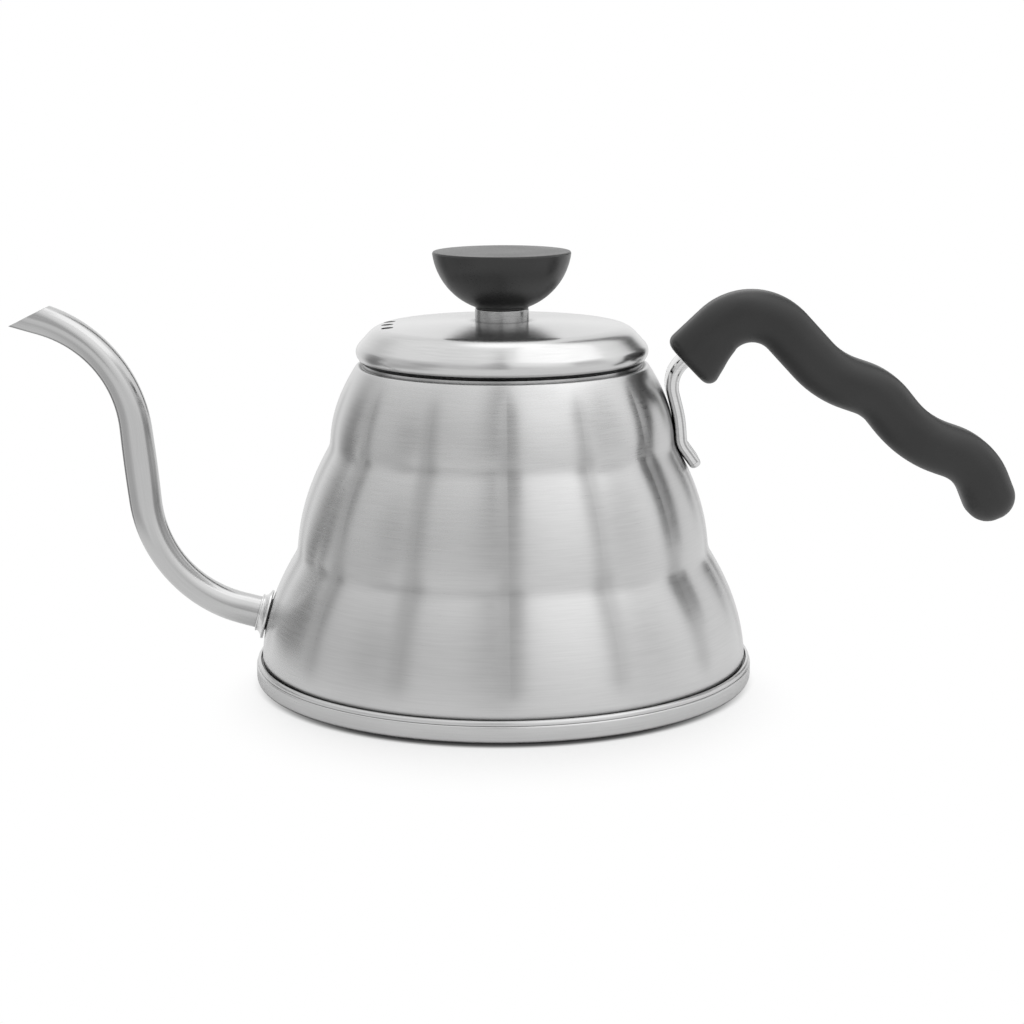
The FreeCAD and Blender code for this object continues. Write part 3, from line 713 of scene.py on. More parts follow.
class Finishes:
    """The kettle's finishes, each built once."""

    def __init__(self) -> None:
        """Builds every finish."""
        # Each brushed finish paints shade into seams and gaps by ambient occlusion. The body also paints it
        # into its flute creases, and the lid, with its longer reach, paints it deep into the gap under its
        # rim.
        self.body = BrushedSteel("body_steel", tone=0.62, roughness=0.30, spread=0.04, pull=0.65,
                                 brush=Brush.AROUND, depth=0.07, crease_shade=0.26).material()
        self.lid = BrushedSteel("lid_steel", tone=0.62, roughness=0.23, spread=0.03, pull=0.6,
                                brush=Brush.AROUND, depth=0.05, reach=4.0 * MM, open_at=0.85).material()
        self.tube = BrushedSteel("tube_steel", tone=0.56, roughness=0.22, spread=0.04, pull=0.3,
                                 brush=Brush.ALONG, depth=0.08).material()
        self.bright = PolishedSteel(
            "polished_steel", (0.74, 0.74, 0.74), roughness=0.10, relief=0.08).material()
        self.ring = PolishedSteel("turned_steel", (0.42, 0.42, 0.42), roughness=0.22, relief=0.3).material()
        self.plated = PolishedSteel(
            "plated_steel", (0.62, 0.62, 0.63), roughness=0.22, relief=0.15).material()
        self.brass = PolishedSteel("turned_brass", (0.72, 0.55, 0.28), roughness=0.28, relief=0.12).material()
        self.black = Phenolic("black_resin", tone=0.018, roughness=0.42, grain=0.20).material()
        self.knob = Phenolic("knob_resin", tone=0.02, roughness=0.34, grain=0.15).material()


def dress(piece: Piece, material: Material) -> None:
    """Gives a piece one material all over."""
    piece.data.materials.clear()
    piece.data.materials.append(material)


def dress_nodes(choice: dict[str, Material]) -> None:
    """Gives CAD nodes their finishes.

    Args:
        choice: The finish of each node.
    """
    for node, material in choice.items():
        dress(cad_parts[node], material)
        log.info("dressed %s with %s", node, material.name)


def stand_in(piece: Piece, body: str, node: str, material: Material) -> None:
    """Puts a dressed piece in the place of a node.

    Args:
        piece: The finer piece.
        body: The moving body it rides on.
        node: The node it replaces.
        material: The piece's finish.
    """
    dress(piece, material)
    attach(piece, body)
    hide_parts(node)
    log.info("built %s for %s", piece.name, node)


@dataclass
class Bell:
    """One bell of the body.

    Args:
        upper: Ridge radius and height of its upper edge.
        lower: Ridge radius and height of its lower edge.
        bulge: How far the ridge swells beyond its chord.
    """

    upper: Pair
    lower: Pair
    bulge: float

    def ridge(self, height: float) -> float:
        """Ridge radius at a height.

        Args:
            height: A height on the bell or just beyond it.

        Returns:
            The radius.
        """
        share = (self.upper[1] - height) / (self.upper[1] - self.lower[1])
        chord = self.upper[0] + (self.lower[0] - self.upper[0]) * share
        return chord + 4.0 * self.bulge * share * (1.0 - share)


@dataclass
class BodyShell:
    """The fluted shell: three bells, foot bead, land and neck.

    A pair is a radius and a height; for crest, recess and neck it is a radius and a depth below the mouth.

    Args:
        root: Place of the spout's root on the shell; its own Z is the spout's axis.
        turn: Angle by which the flutes are turned from the spout's line, in degrees.
        bow: How far a lobe bows out beyond the round.
        groove_width: Width of a groove as a share of half a flute.
        pinch: How much deeper a groove gets where it meets a waist.
        mid_crease_shade: Strength of the crease in a groove away from the waists.
        waist: Half the height over which a waist is softened.
        fade: Height over which the fluting fades at the mouth and at the foot.
        seam: Radii of the seam above the bead: its lip, its floor and the wall behind it.
        lining: Radii of the underside at the land, the recess and the crest.
        crowding: How far the points of a ring crowd into the grooves.
    """

    root: Matrix
    flutes: int = 14
    turn: float = 1.5
    bow: float = 0.1 * MM
    groove: float = 0.12 * MM
    groove_width: float = 0.3
    pinch: float = 0.8
    pinch_below: float = 8.0 * MM
    pinch_above: float = 4.0 * MM
    mid_crease_shade: float = 0.65
    waist: float = 2.0 * MM
    fade: float = 9.0 * MM
    wall: float = 0.7 * MM
    foot: Pair = (65.4 * MM, 4.6 * MM)
    mouth: Pair = (38.3 * MM, 85.3 * MM)
    waists: tuple[Pair, ...] = ((46.05 * MM, 63.3 * MM), (55.3 * MM, 34.7 * MM))
    bulges: tuple[float, ...] = (1.9 * MM, 2.0 * MM, 2.4 * MM)
    bead: Pair = (66.7 * MM, 5.8 * MM)
    bead_round: float = 0.85 * MM
    bead_edge: float = 0.15 * MM
    seam_edge: float = 0.25 * MM
    seam: Triple = (65.7 * MM, 65.6 * MM, 65.2 * MM)
    seam_rise: float = 0.5 * MM
    wall_start: float = 0.9 * MM
    shoulder: float = 2.3 * MM
    crest: Pair = (38.6 * MM, 0.4 * MM)
    recess: Pair = (37.1 * MM, 1.2 * MM)
    land: float = 37.0 * MM
    neck: Pair = (34.2 * MM, 6.3 * MM)
    crest_round: float = 0.9 * MM
    recess_round: float = 0.2 * MM
    land_edge: float = 0.15 * MM
    neck_round: float = 0.65 * MM
    neck_edge: float = 0.2 * MM
    neck_fillet: float = 0.3 * MM
    lining: Triple = (36.3 * MM, 36.4 * MM, 37.9 * MM)
    lining_depth: float = 2.1 * MM
    steps_per_side: int = 13
    crowding: float = 1.6
    level_step: float = 0.65 * MM
    inner_levels: int = 36
    spout_hole: Punch = Punch(radius=4.42 * MM, depth=12.0 * MM, sides=48)
    sharp: float = 50.0

    def __post_init__(self) -> None:
        """Stacks the bells between the mouth, the waists and the foot."""
        edges = (self.mouth, *self.waists, self.foot)
        self.bells = [Bell(*each) for each in zip(edges, edges[1:], self.bulges)]

    def _sharp_ridge(self, height: float) -> float:
        """Ridge radius with sharp waists."""
        bells = [bell for bell in self.bells if height >= bell.lower[1]]
        return (bells or self.bells[-1:])[0].ridge(height)

    def ridge(self, height: float) -> float:
        """Ridge radius with softened waists.

        Args:
            height: Height on the body.

        Returns:
            The radius, weighed over a short height.
        """
        steps, fall = 4, 0.8
        offsets = [step / steps for step in range(-steps, steps + 1)]
        weights = [1.0 - fall * abs(offset) for offset in offsets]
        total = sum(weight * self._sharp_ridge(height + offset * self.waist)
                    for weight, offset in zip(weights, offsets))
        return total / sum(weights)

    def fluting(self, height: float) -> float:
        """Share of the full fluting at a height: none at the mouth and at the foot."""
        nearest = min(self.mouth[1] - height, height - self.bead[1])
        return eased(nearest / self.fade)

    def at_waist(self, height: float) -> float:
        """How near a height is to a waist.

        Args:
            height: Height on the body.

        Returns:
            1 at the waist and 0 well away from it.
        """
        near = 0.0
        for _, waist in self.waists:
            off = height - waist
            reach = self.pinch_above if off > 0.0 else self.pinch_below
            near = max(near, math.exp(-(off / reach) ** 2))
        return near

    def stations(self) -> list[Pair]:
        """Points around a ring, close together in the grooves.

        Returns:
            Angle of every point, and its share of the way from the groove's middle to a ridge.
        """
        half = math.pi / self.flutes
        marks = []
        for flute in range(self.flutes):
            middle = (2 * flute + 1) * half + math.radians(self.turn)
            for step in range(-self.steps_per_side, self.steps_per_side):
                away = abs(step / self.steps_per_side) ** self.crowding
                marks.append((middle + math.copysign(half * away, step), away))
        return marks

    def add_ring(self, skin: Skin, radius: float, height: float, share: float) -> list[int]:
        """Adds one level ring to the shell's skin.

        Args:
            skin: The skin to add to.
            radius: Radius on the ridges.
            height: Height of the ring.
            share: Share of the full fluting.

        Returns:
            Numbers of the ring's points, counter-clockwise.
        """
        waist = self.at_waist(height)
        groove = self.groove * (1.0 + self.pinch * waist)
        points = []
        for angle, away in self.stations():
            fold = math.exp(-(away / self.groove_width) ** 2)
            reach = radius - share * (self.bow * (1.0 - away) ** 2 + groove * fold)
            points.append(Vector((reach * math.cos(angle), reach * math.sin(angle), height)))
            # Painted crease shade: strongest in the groove's middle and near a waist.
            skin.crease_shades.append(share * fold * (self.mid_crease_shade + (1.0 - self.mid_crease_shade) * waist))
        return skin.ring(points)

    def bead_outline(self) -> Outline:
        """Outlines the foot bead and the seam above it.

        Returns:
            The outline, from the inside of the foot up to the wall.
        """
        radius, top = self.bead
        lip, floor, wall = self.seam
        low = self.foot[1]
        return Outline((
            Corner(self.foot[0] - self.wall, low), Corner(radius, low, self.bead_edge),
            Corner(radius, top, self.bead_round), Corner(lip, top, self.seam_edge),
            Corner(floor, low + self.seam_rise, CRISP), Corner(wall, low + self.seam_rise, CRISP),
            Corner(wall, top + self.seam_rise)), closed=False, arc_step=12.0)

    def mouth_outline(self) -> Outline:
        """Outlines the mouth: crest, recess, land and neck, then the underside of the same sheet.

        Returns:
            The outline, from the shoulder over the land and back under it.
        """
        top = self.mouth[1]
        start, under = top - self.shoulder, top - self.lining_depth
        neck, low = self.neck[0], top - self.neck[1]
        return Outline((
            Corner(self.ridge(start), start),
            Corner(self.crest[0], top - self.crest[1], self.crest_round),
            Corner(self.recess[0], top - self.recess[1], self.recess_round),
            Corner(self.land, top, self.land_edge),
            Corner(neck, top, self.neck_round), Corner(neck, low, self.neck_edge),
            Corner(neck + self.wall, low, self.neck_edge),
            Corner(neck + self.wall, top - self.wall, self.neck_fillet),
            Corner(self.lining[0], top - self.wall, CRISP), Corner(self.lining[1], under, CRISP),
            Corner(self.lining[2], under)), closed=False, arc_step=15.0, run_step=3.0 * MM)

    def wall_levels(self, start: float, end: float, count: int, inset: float) -> list[Triple]:
        """Levels of the fluted wall.

        Args:
            start: Height of the first ring.
            end: Height of the last ring.
            count: Number of steps between them.
            inset: Distance inwards from the outer skin.

        Returns:
            Radius, height and share of the fluting of every ring.
        """
        heights = [start + (end - start) * step / count for step in range(count + 1)]
        return [(self.ridge(height) - inset, height, self.fluting(height)) for height in heights]

    def levels(self) -> list[Triple]:
        """Levels of the whole shell.

        Returns:
            Radius, height and share of the fluting of every ring, in order around the sheet's section: from
            the foot up the outside and down the inside.
        """
        start = self.bead[1] + self.wall_start
        shoulder = self.mouth[1] - self.shoulder
        count = round((shoulder - start) / self.level_step)
        foot = [(spot.x, spot.y, 0.0) for spot in self.bead_outline().points()]
        neck = [(spot.x, spot.y, 0.0) for spot in self.mouth_outline().points()[1:]]
        outside = self.wall_levels(start, shoulder, count, 0.0)
        inside = self.wall_levels(shoulder, self.foot[1], self.inner_levels, self.wall)
        return foot + outside + neck + inside

    def build(self) -> Piece:
        """Builds the shell as one closed skin and pierces it for the spout.

        Returns:
            The shell's object.
        """
        skin = Skin("body_shell_skin")
        rings = [self.add_ring(skin, *level) for level in self.levels()]
        skin.join(rings, closed=True)
        return self.spout_hole.pierce(skin.finished(self.sharp), [self.root], self.sharp)

    def fit(self, finishes: Finishes) -> None:
        """Builds and dresses the shell."""
        stand_in(self.build(), "kettle", "body_shell", finishes.body)


@dataclass
class BasePan:
    """The flat pan under the shell, with its upright rim.

    Args:
        rib: Inner and outer radius of the stiffening ring in the floor.
        rib_rise: How far the ring is pressed up.
        middle: Radius of the plain disc in the middle.
    """

    radius: float = 66.99 * MM
    height: float = 4.6 * MM
    metal: float = 1.0 * MM
    rim: float = 1.6 * MM
    corner: float = 1.2 * MM
    lip_round: float = 0.5 * MM
    rib: Pair = (44.0 * MM, 52.0 * MM)
    rib_rise: float = 0.8 * MM
    rib_slope: float = 1.5 * MM
    middle: float = 20.0 * MM
    steps: int = 256
    sharp: float = 40.0

    def build(self) -> Piece:
        """Turns the pan and closes its floor.

        Returns:
            The pan's object.
        """
        start, end = self.rib
        inner = self.radius - self.rim
        under = [
            Corner(self.middle, 0.0), Corner(start, 0.0), Corner(start + self.rib_slope, self.rib_rise),
            Corner(end - self.rib_slope, self.rib_rise), Corner(end, 0.0)]
        side = [
            Corner(self.radius, 0.0, self.corner), Corner(self.radius, self.height, self.lip_round),
            Corner(inner, self.height), Corner(inner, self.metal, self.metal)]
        above = [Corner(corner.x, corner.y + self.metal) for corner in reversed(under)]
        profile = Outline(under + side + above, closed=False, arc_step=10.0).points()
        pan = turned("base_pan_skin", profile, Matrix.Identity(4), self.steps, self.sharp, closed=False)
        return tidy_normals(pan)

    def fit(self, finishes: Finishes) -> None:
        """Builds and dresses the pan."""
        stand_in(self.build(), "kettle", "base_pan", finishes.body)


@dataclass(frozen=True)
class Ferrule:
    """The turned ferrule at the spout's root: a flange plate, a concave flare and a small ring.

    Args:
        flange: Radius and thickness of the plate.
        flange_edges: Radii of the plate's lower and upper edge.
        step: Radius and height of the step from the plate to the flare.
        throat: Radius of the flare at its narrow end.
        widening: How much wider the flare is at its foot.
        flare: Heights of the flare's foot and of its narrow end.
        hollow: How hollow the flare is.
        ring: Radius of the ring and height of its end.
        ring_edges: Radii of the ring's lower and upper edge.
        seat: Distance of the plate from the body's ridge.
    """

    hole: float = 4.42 * MM
    flange: Pair = (6.75 * MM, 0.7 * MM)
    flange_edges: Pair = (0.2 * MM, 0.25 * MM)
    step: Pair = (6.35 * MM, 0.72 * MM)
    throat: float = 4.95 * MM
    widening: float = 1.35 * MM
    flare: Pair = (0.75 * MM, 2.2 * MM)
    hollow: float = 2.2
    shares: tuple[float, ...] = (0.0, 0.12, 0.25, 0.4, 0.55, 0.7, 0.85, 1.0)
    ring: Pair = (5.15 * MM, 2.6 * MM)
    ring_edges: Pair = (0.06 * MM, 0.15 * MM)
    ring_slope: float = 0.05 * MM
    seat: float = 0.25 * MM
    steps: int = 96
    sharp: float = 40.0

    def build(self, place: Matrix) -> Piece:
        """Turns the ferrule.

        Args:
            place: Middle of the plate's underside; its own Z is the ferrule's axis.

        Returns:
            The ferrule's object.
        """
        foot, neck = self.flare
        plate = Outline((
            Corner(self.hole, 0.0), Corner(self.flange[0], 0.0, self.flange_edges[0]),
            Corner(*self.flange, self.flange_edges[1]), Corner(*self.step)),
            closed=False, arc_step=15.0).points()
        widths = [self.throat + self.widening * (1.0 - share) ** self.hollow for share in self.shares]
        flare = [Vector((width, foot + (neck - foot) * share)) for width, share in zip(widths, self.shares)]
        ring = Outline((
            Corner(self.throat, neck), Corner(self.ring[0], neck + self.ring_slope, self.ring_edges[0]),
            Corner(*self.ring, self.ring_edges[1]), Corner(self.hole, self.ring[1])),
            closed=False, arc_step=20.0).points()
        return turned("spout_collar_skin", plate + flare + ring, place, self.steps, self.sharp)


@dataclass
class Spout:
    """The bent tube with its slanted mouth, and the ferrule at its root.

    Args:
        root: Side-view place on the body's ridge where the tube's axis leaves it.
        root_angle: Rise of the axis there, in degrees.
        diameter: Mean of the tube's two widths.
        widths: Width of the tube in side view at the root, lower bend, riser, upper bend and mouth.
        stations: Shares of the tube's length at which those widths lie.
        foot: Distance from the root to the corner of the lower bend.
        riser: Way from there to the corner of the upper bend.
        tip: Length of the axis beyond that corner.
        mouth_lip: Side-view place of the mouth's lip.
    """

    root: Pair = (-63.62 * MM, 16.05 * MM)
    root_angle: float = 14.97
    diameter: float = 8.4 * MM
    wall: float = 0.6 * MM
    widths: tuple[float, ...] = (8.7 * MM, 8.0 * MM, 8.9 * MM, 7.9 * MM, 8.4 * MM)
    stations: tuple[float, ...] = (0.0, 0.26, 0.51, 0.77, 1.0)
    inside: float = 2.0 * MM
    foot: float = 31.3 * MM
    riser: Pair = (-6.4 * MM, 66.25 * MM)
    bends: Pair = (34.2 * MM, 33.8 * MM)
    tip: float = 30.6 * MM
    tip_angle: float = 16.6
    steps: int = 48
    mouth_lip: Pair = (-130.75 * MM, 95.1 * MM)
    mouth_angle: float = 26.0
    sharp: float = 35.0
    ferrule: Ferrule = Ferrule()

    def on_root(self, out: float) -> Vector:
        """Side-view place on the root's axis, out from the body's ridge."""
        turn = math.radians(self.root_angle)
        return Vector((self.root[0] - math.cos(turn) * out, self.root[1] + math.sin(turn) * out))

    def root_place(self, out: float) -> Matrix:
        """Place on the root's axis with its own Z along the axis.

        Args:
            out: Distance out from the body's ridge.

        Returns:
            The place in space.
        """
        seat = self.on_root(out)
        tilt = Matrix.Rotation(math.radians(self.root_angle - QUARTER_TURN), 4, "Y")
        return Matrix.Translation((seat.x, 0.0, seat.y)) @ tilt

    def width(self, share: float) -> float:
        """Width of the tube in side view.

        Args:
            share: Share of the tube's length.

        Returns:
            The width there.
        """
        known = list(zip(self.stations, self.widths))
        for (low, before), (high, after) in zip(known, known[1:]):
            if share <= high:
                return before + (after - before) * eased((share - low) / (high - low))
        return self.widths[-1]

    def section(self, share: float, inset: float) -> list[Vector]:
        """The tube's oval section.

        Args:
            share: Share of the tube's length.
            inset: Distance inwards from the outer skin.

        Returns:
            Points around the oval.
        """
        tall = self.width(share) / 2.0 - inset
        wide = self.diameter - self.width(share) / 2.0 - inset
        return [Vector((wide * math.cos(angle), tall * math.sin(angle))) for angle in around(self.steps)]

    def path(self) -> SidePath:
        """The tube's axis.

        Returns:
            The axis, from inside the body to beyond the mouth.
        """
        low = self.on_root(self.foot)
        high = low + Vector(self.riser)
        rise = math.radians(self.tip_angle)
        end = high + Vector((-math.cos(rise), math.sin(rise))) * self.tip
        return SidePath((
            Corner(*self.on_root(-self.inside)), Corner(*low, self.bends[0]), Corner(*high, self.bends[1]),
            Corner(*end)), run_step=1.0 * MM)

    def build_tube(self) -> Piece:
        """Builds the tube and cuts its slanted mouth.

        Returns:
            The tube's object.
        """
        path = self.path()
        skin = Skin("spout_tube_skin")
        outer, inner = [], []
        for index, length in enumerate(path.lengths):
            share = length / path.lengths[-1]
            outer.append(skin.ring(path.ring(index, self.section(share, 0.0))))
            inner.append(skin.ring(path.ring(index, self.section(share, self.wall))))
        skin.join(outer + inner[::-1], closed=True, along=path.lengths + path.lengths[::-1])
        return self.cut_mouth(skin.finished(self.sharp))

    def cut_mouth(self, piece: Piece) -> Piece:
        """Cuts the tube along the mouth's slanted plane and closes the wall there.

        Args:
            piece: The uncut tube.

        Returns:
            The same tube, cut.
        """
        turn = math.radians(self.mouth_angle)
        work = bmesh.new()
        work.from_mesh(piece.data)
        every = work.verts[:] + work.edges[:] + work.faces[:]
        bmesh.ops.bisect_plane(
            work, geom=every, dist=1e-7, plane_co=(self.mouth_lip[0], 0.0, self.mouth_lip[1]),
            plane_no=(-math.sin(turn), 0.0, math.cos(turn)), clear_outer=True)
        bmesh.ops.bridge_loops(work, edges=[edge for edge in work.edges if edge.is_boundary])
        bmesh.ops.recalc_face_normals(work, faces=work.faces)
        work.to_mesh(piece.data)
        work.free()
        piece.data.set_sharp_from_angle(angle=math.radians(self.sharp))
        return piece

    def fit(self, finishes: Finishes) -> None:
        """Builds and dresses the tube and the ferrule.

        Args:
            finishes: The kettle's finishes.
        """
        stand_in(self.build_tube(), "kettle", "spout_tube", finishes.tube)
        collar = self.ferrule.build(self.root_place(self.ferrule.seat))
        stand_in(collar, "kettle", "spout_collar", finishes.bright)


@dataclass
class Handle:
    """The pressed steel bracket, and the moulded grip with its fixings.

    The tail, the heel and the crook are places in side view.

    Args:
        grip_start: Middle of the grip's end face in side view.
        grip_angle: Rise of the grip's straight start, in degrees.
        lean: How far the channel's sides lean in at the back and under the rim.
        rim: Height of the channel's rolled rim.
        bend: Distance of the upper bend's corner before the grip's end face.
        tang: Length of the tang inside the grip.
        tang_rise: How far the tang lies above the grip's axis.
        tail_round: Radius of the rounded rim at the tail.
        tail_turn: Angle between two rings of that rim, in degrees.
    """

    grip_start: Pair = (48.35 * MM, 85.05 * MM)
    grip_angle: float = 43.5
    strap_half: float = 5.5 * MM
    strap_depth: float = 3.2 * MM
    metal: float = 1.0 * MM
    lean: Pair = (0.1 * MM, 0.3 * MM)
    rim: float = 0.7 * MM
    rim_slope: float = 0.3 * MM
    rim_round: float = 0.4 * MM
    rim_root: float = 0.3 * MM
    inner_round: float = 0.6 * MM
    back_round: float = 1.5 * MM
    tail: Pair = (49.9 * MM, 57.3 * MM)
    heel: Pair = (46.0 * MM, 62.7 * MM)
    heel_round: float = 7.0 * MM
    crook: Pair = (45.4 * MM, 70.1 * MM)
    crook_round: float = 30.0 * MM
    bend: float = 6.4 * MM
    bend_round: float = 10.0 * MM
    tang: float = 15.0 * MM
    tang_rise: float = 0.4 * MM
    tail_round: float = 1.3 * MM
    tail_turn: int = 15
    front_round: float = 0.5 * MM
    sharp: float = 35.0

    def on_grip(self, along: float, up: float) -> Vector:
        """A place beside the straight start of the grip.

        Args:
            along: Distance from the grip's end face.
            up: Height above the grip's axis.

        Returns:
            The place in side view.
        """
        turn = math.radians(self.grip_angle)
        way = Vector((math.cos(turn), math.sin(turn)))
        return Vector(self.grip_start) + way * along + Vector((-way.y, way.x)) * up

    def bracket_path(self) -> SidePath:
        """The back of the bracket.

        Returns:
            Its line, from the tail on the middle bell up into the grip.
        """
        back = self.tang_rise + self.strap_depth / 2.0
        return SidePath((
            Corner(*self.tail), Corner(*self.heel, self.heel_round), Corner(*self.crook, self.crook_round),
            Corner(*self.on_grip(-self.bend, back), self.bend_round),
            Corner(*self.on_grip(self.tang, back))), run_step=0.8 * MM)

    def channel(self) -> list[Vector]:
        """The bracket's channel section.

        Returns:
            Points around it, its back at 0 and its rolled rims away from the body.
        """
        half, deep, metal = self.strap_half, self.strap_depth, self.metal
        under = deep - self.rim
        side = [
            Corner(half - self.lean[0], 0.0, self.back_round),
            Corner(half - self.lean[1], under - self.rim_slope, self.rim_round),
            Corner(half, under, self.rim_root), Corner(half, deep, self.rim_round),
            Corner(half - metal, deep, self.rim_round), Corner(half - metal, metal, self.inner_round)]
        other = [Corner(-corner.x, corner.y, corner.radius) for corner in reversed(side)]
        spots = Outline(side + other, arc_step=18.0).points()
        return [Vector((spot.x, -spot.y)) for spot in spots]

    def tail_sections(self) -> list[tuple[list[Vector], float]]:
        """Sections of the plate that closes the tail with a rounded rim.

        Returns:
            Points of each section and its shift along the bracket.
        """
        half, deep = self.strap_half, self.strap_depth
        plate = Outline((
            Corner(-half, 0.0, self.back_round), Corner(half, 0.0, self.back_round),
            Corner(half, -deep, self.front_round), Corner(-half, -deep, self.front_round)),
            arc_step=15.0).points()
        middle = Vector((0.0, -deep / 2.0))
        sections = []
        for angle in range(0, QUARTER_TURN + 1, self.tail_turn):
            inset = self.tail_round * (1.0 - math.cos(math.radians(angle)))
            wide, tall = 1.0 - inset / half, 1.0 - inset / (deep / 2.0)
            shape = [middle + Vector((spot.x * wide, (spot.y - middle.y) * tall)) for spot in plate]
            sections.append((shape, -self.tail_round * math.sin(math.radians(angle))))
        return sections

    def build_bracket(self) -> Piece:
        """Sweeps the channel along the bracket's back and closes its tail.

        Returns:
            The bracket's object.
        """
        skin = Skin("handle_bracket_skin")
        path = self.bracket_path()
        section = self.channel()
        skin.join([skin.ring(path.ring(index, section)) for index in range(len(path.spots))], closed=False)
        skin.join([skin.ring(path.ring(0, *each)) for each in self.tail_sections()], closed=False)
        return tidy_normals(skin.finished(self.sharp))

    def fit(self, finishes: Finishes) -> None:
        """Builds the bracket, and dresses it, the grip and the grip's fixings.

        Args:
            finishes: The kettle's finishes.
        """
        stand_in(self.build_bracket(), "kettle", "handle_bracket", finishes.bright)
        dress_nodes({
            "handle_grip": finishes.black, "handle_screw": finishes.plated,
            "handle_spring_washer": finishes.plated, "handle_insert": finishes.brass})


@dataclass
class Lid:
    """The pressed cap with its crowned top, sloping side and rolled rim, the plug ring and the knob.

    Args:
        seat: Height of the land that the cap sits on.
        crown_edge: Radius up to which the top is crowned.
        hollow: How evenly the crown falls away from the middle.
        shoulder: Radius and height of the corner between top and side.
        rim: Radius and height of the corner between side and lip.
        lip: Radius and height of the lip's lower edge.
        hem: Inner and outer radius of the hem that stands on the land.
        tuck: How far the inside of the rim lies inwards, above the hem and at the rim's height.
    """

    seat: float = 85.3 * MM
    crown: float = 96.2 * MM
    crown_edge: float = 28.0 * MM
    crown_steps: int = 10
    hollow: float = 2.2
    shoulder: Pair = (33.9 * MM, 94.8 * MM)
    shoulder_round: float = 6.5 * MM
    rim: Pair = (39.6 * MM, 88.5 * MM)
    rim_round: float = 2.9 * MM
    lip: Pair = (38.1 * MM, 86.3 * MM)
    lip_edge: float = 0.25 * MM
    hem: Pair = (36.6 * MM, 37.1 * MM)
    hem_height: float = 1.6 * MM
    metal: float = 0.7 * MM
    tuck: Pair = (2.2 * MM, 1.7 * MM)
    tuck_drop: float = 0.4 * MM
    tuck_round: float = 0.8 * MM
    shoulder_inset: float = 0.4 * MM
    inner_round: float = 3.0 * MM
    screw_hole: float = 2.2 * MM
    steam_places: tuple[Pair, ...] = ((-30.4 * MM, 0.0), (-30.1 * MM, 6.8 * MM), (-30.1 * MM, -6.8 * MM))
    steam_hole: Punch = Punch(radius=1.6 * MM, depth=6.0 * MM, sides=32)
    steps: int = 192
    sharp: float = 50.0

    def top(self, radius: float) -> float:
        """Height of the crowned top at a radius."""
        fall = 1.0 - (radius / self.shoulder[0]) ** self.hollow
        return self.shoulder[1] + (self.crown - self.shoulder[1]) * fall

    def profile(self) -> list[Vector]:
        """The cap's section.

        Returns:
            Radius and height of each point, from the screw hole over the top and back under it.
        """
        reach = self.crown_edge - self.screw_hole
        crown = [self.screw_hole + reach * step / self.crown_steps for step in range(self.crown_steps + 1)]
        over = [Corner(radius, self.top(radius)) for radius in crown]
        under = [Corner(radius, self.top(radius) - self.metal) for radius in reversed(crown)]
        hem_top = self.seat + self.hem_height
        side = [
            Corner(*self.shoulder, self.shoulder_round), Corner(*self.rim, self.rim_round),
            Corner(*self.lip, self.lip_edge), Corner(self.hem[1], self.seat, CRISP),
            Corner(self.hem[0], self.seat, CRISP), Corner(self.hem[0], hem_top, CRISP),
            Corner(self.rim[0] - self.tuck[0], hem_top, CRISP),
            Corner(self.rim[0] - self.tuck[1], self.rim[1] - self.tuck_drop, self.tuck_round),
            Corner(self.shoulder[0] - self.shoulder_inset, self.shoulder[1] - self.metal, self.inner_round)]
        return Outline(over + side + under, closed=False, run_step=2.0 * MM).points()

    def build_cap(self) -> Piece:
        """Turns the cap and pierces its steam holes.

        Returns:
            The cap's object.
        """
        cap = turned("lid_cap_skin", self.profile(), Matrix.Identity(4), self.steps, self.sharp)
        holes = [Matrix.Translation((*place, self.crown)) for place in self.steam_places]
        return self.steam_hole.pierce(cap, holes, self.sharp)

    def fit(self, finishes: Finishes) -> None:
        """Builds the cap, and dresses it, the plug ring, the knob and the knob's fixings.

        Args:
            finishes: The kettle's finishes.
        """
        stand_in(self.build_cap(), "lid", "lid_cap", finishes.lid)
        dress_nodes({
            "lid_plug_ring": finishes.lid, "lid_knob": finishes.knob, "knob_collar": finishes.ring,
            "knob_insert": finishes.brass, "knob_washer": finishes.plated, "knob_screw": finishes.plated})


def bearing(azimuth: float, elevation: float) -> Vector:
    """A direction seen from the kettle.

    Args:
        azimuth: Angle from the camera's side, in degrees towards the grip.
        elevation: Angle above the floor, in degrees.

    Returns:
        The unit direction.
    """
    turn = math.radians(azimuth)
    rise = math.radians(elevation)
    return Vector((math.sin(turn) * math.cos(rise), -math.cos(turn) * math.cos(rise), math.sin(rise)))


@dataclass(frozen=True)
class Patch:
    """A soft round patch of the surround that is brighter or darker than the rest.

    Args:
        azimuth: Angle of its centre from the camera's side, in degrees towards the grip.
        elevation: Height angle of its centre, in degrees.
        inner: Angle from the centre up to which the patch is full, in degrees.
        outer: Angle from the centre at which it has faded away, in degrees.
        level: Its brightness.
    """

    azimuth: float
    elevation: float
    inner: float
    outer: float
    level: float

    def share(self, graph: Graph, way: Socket) -> Socket:
        """Share of the patch at a direction.

        Args:
            graph: The surround's nodes.
            way: Direction looked in.

        Returns:
            1 inside the patch and 0 outside it.
        """
        centre = bearing(self.azimuth, self.elevation)
        close = graph.add("VectorMath", {0: way, 1: centre}, operation="DOT_PRODUCT").outputs["Value"]
        span = (math.cos(math.radians(self.outer)), math.cos(math.radians(self.inner)))
        return graph.remap(close, span, RISING)


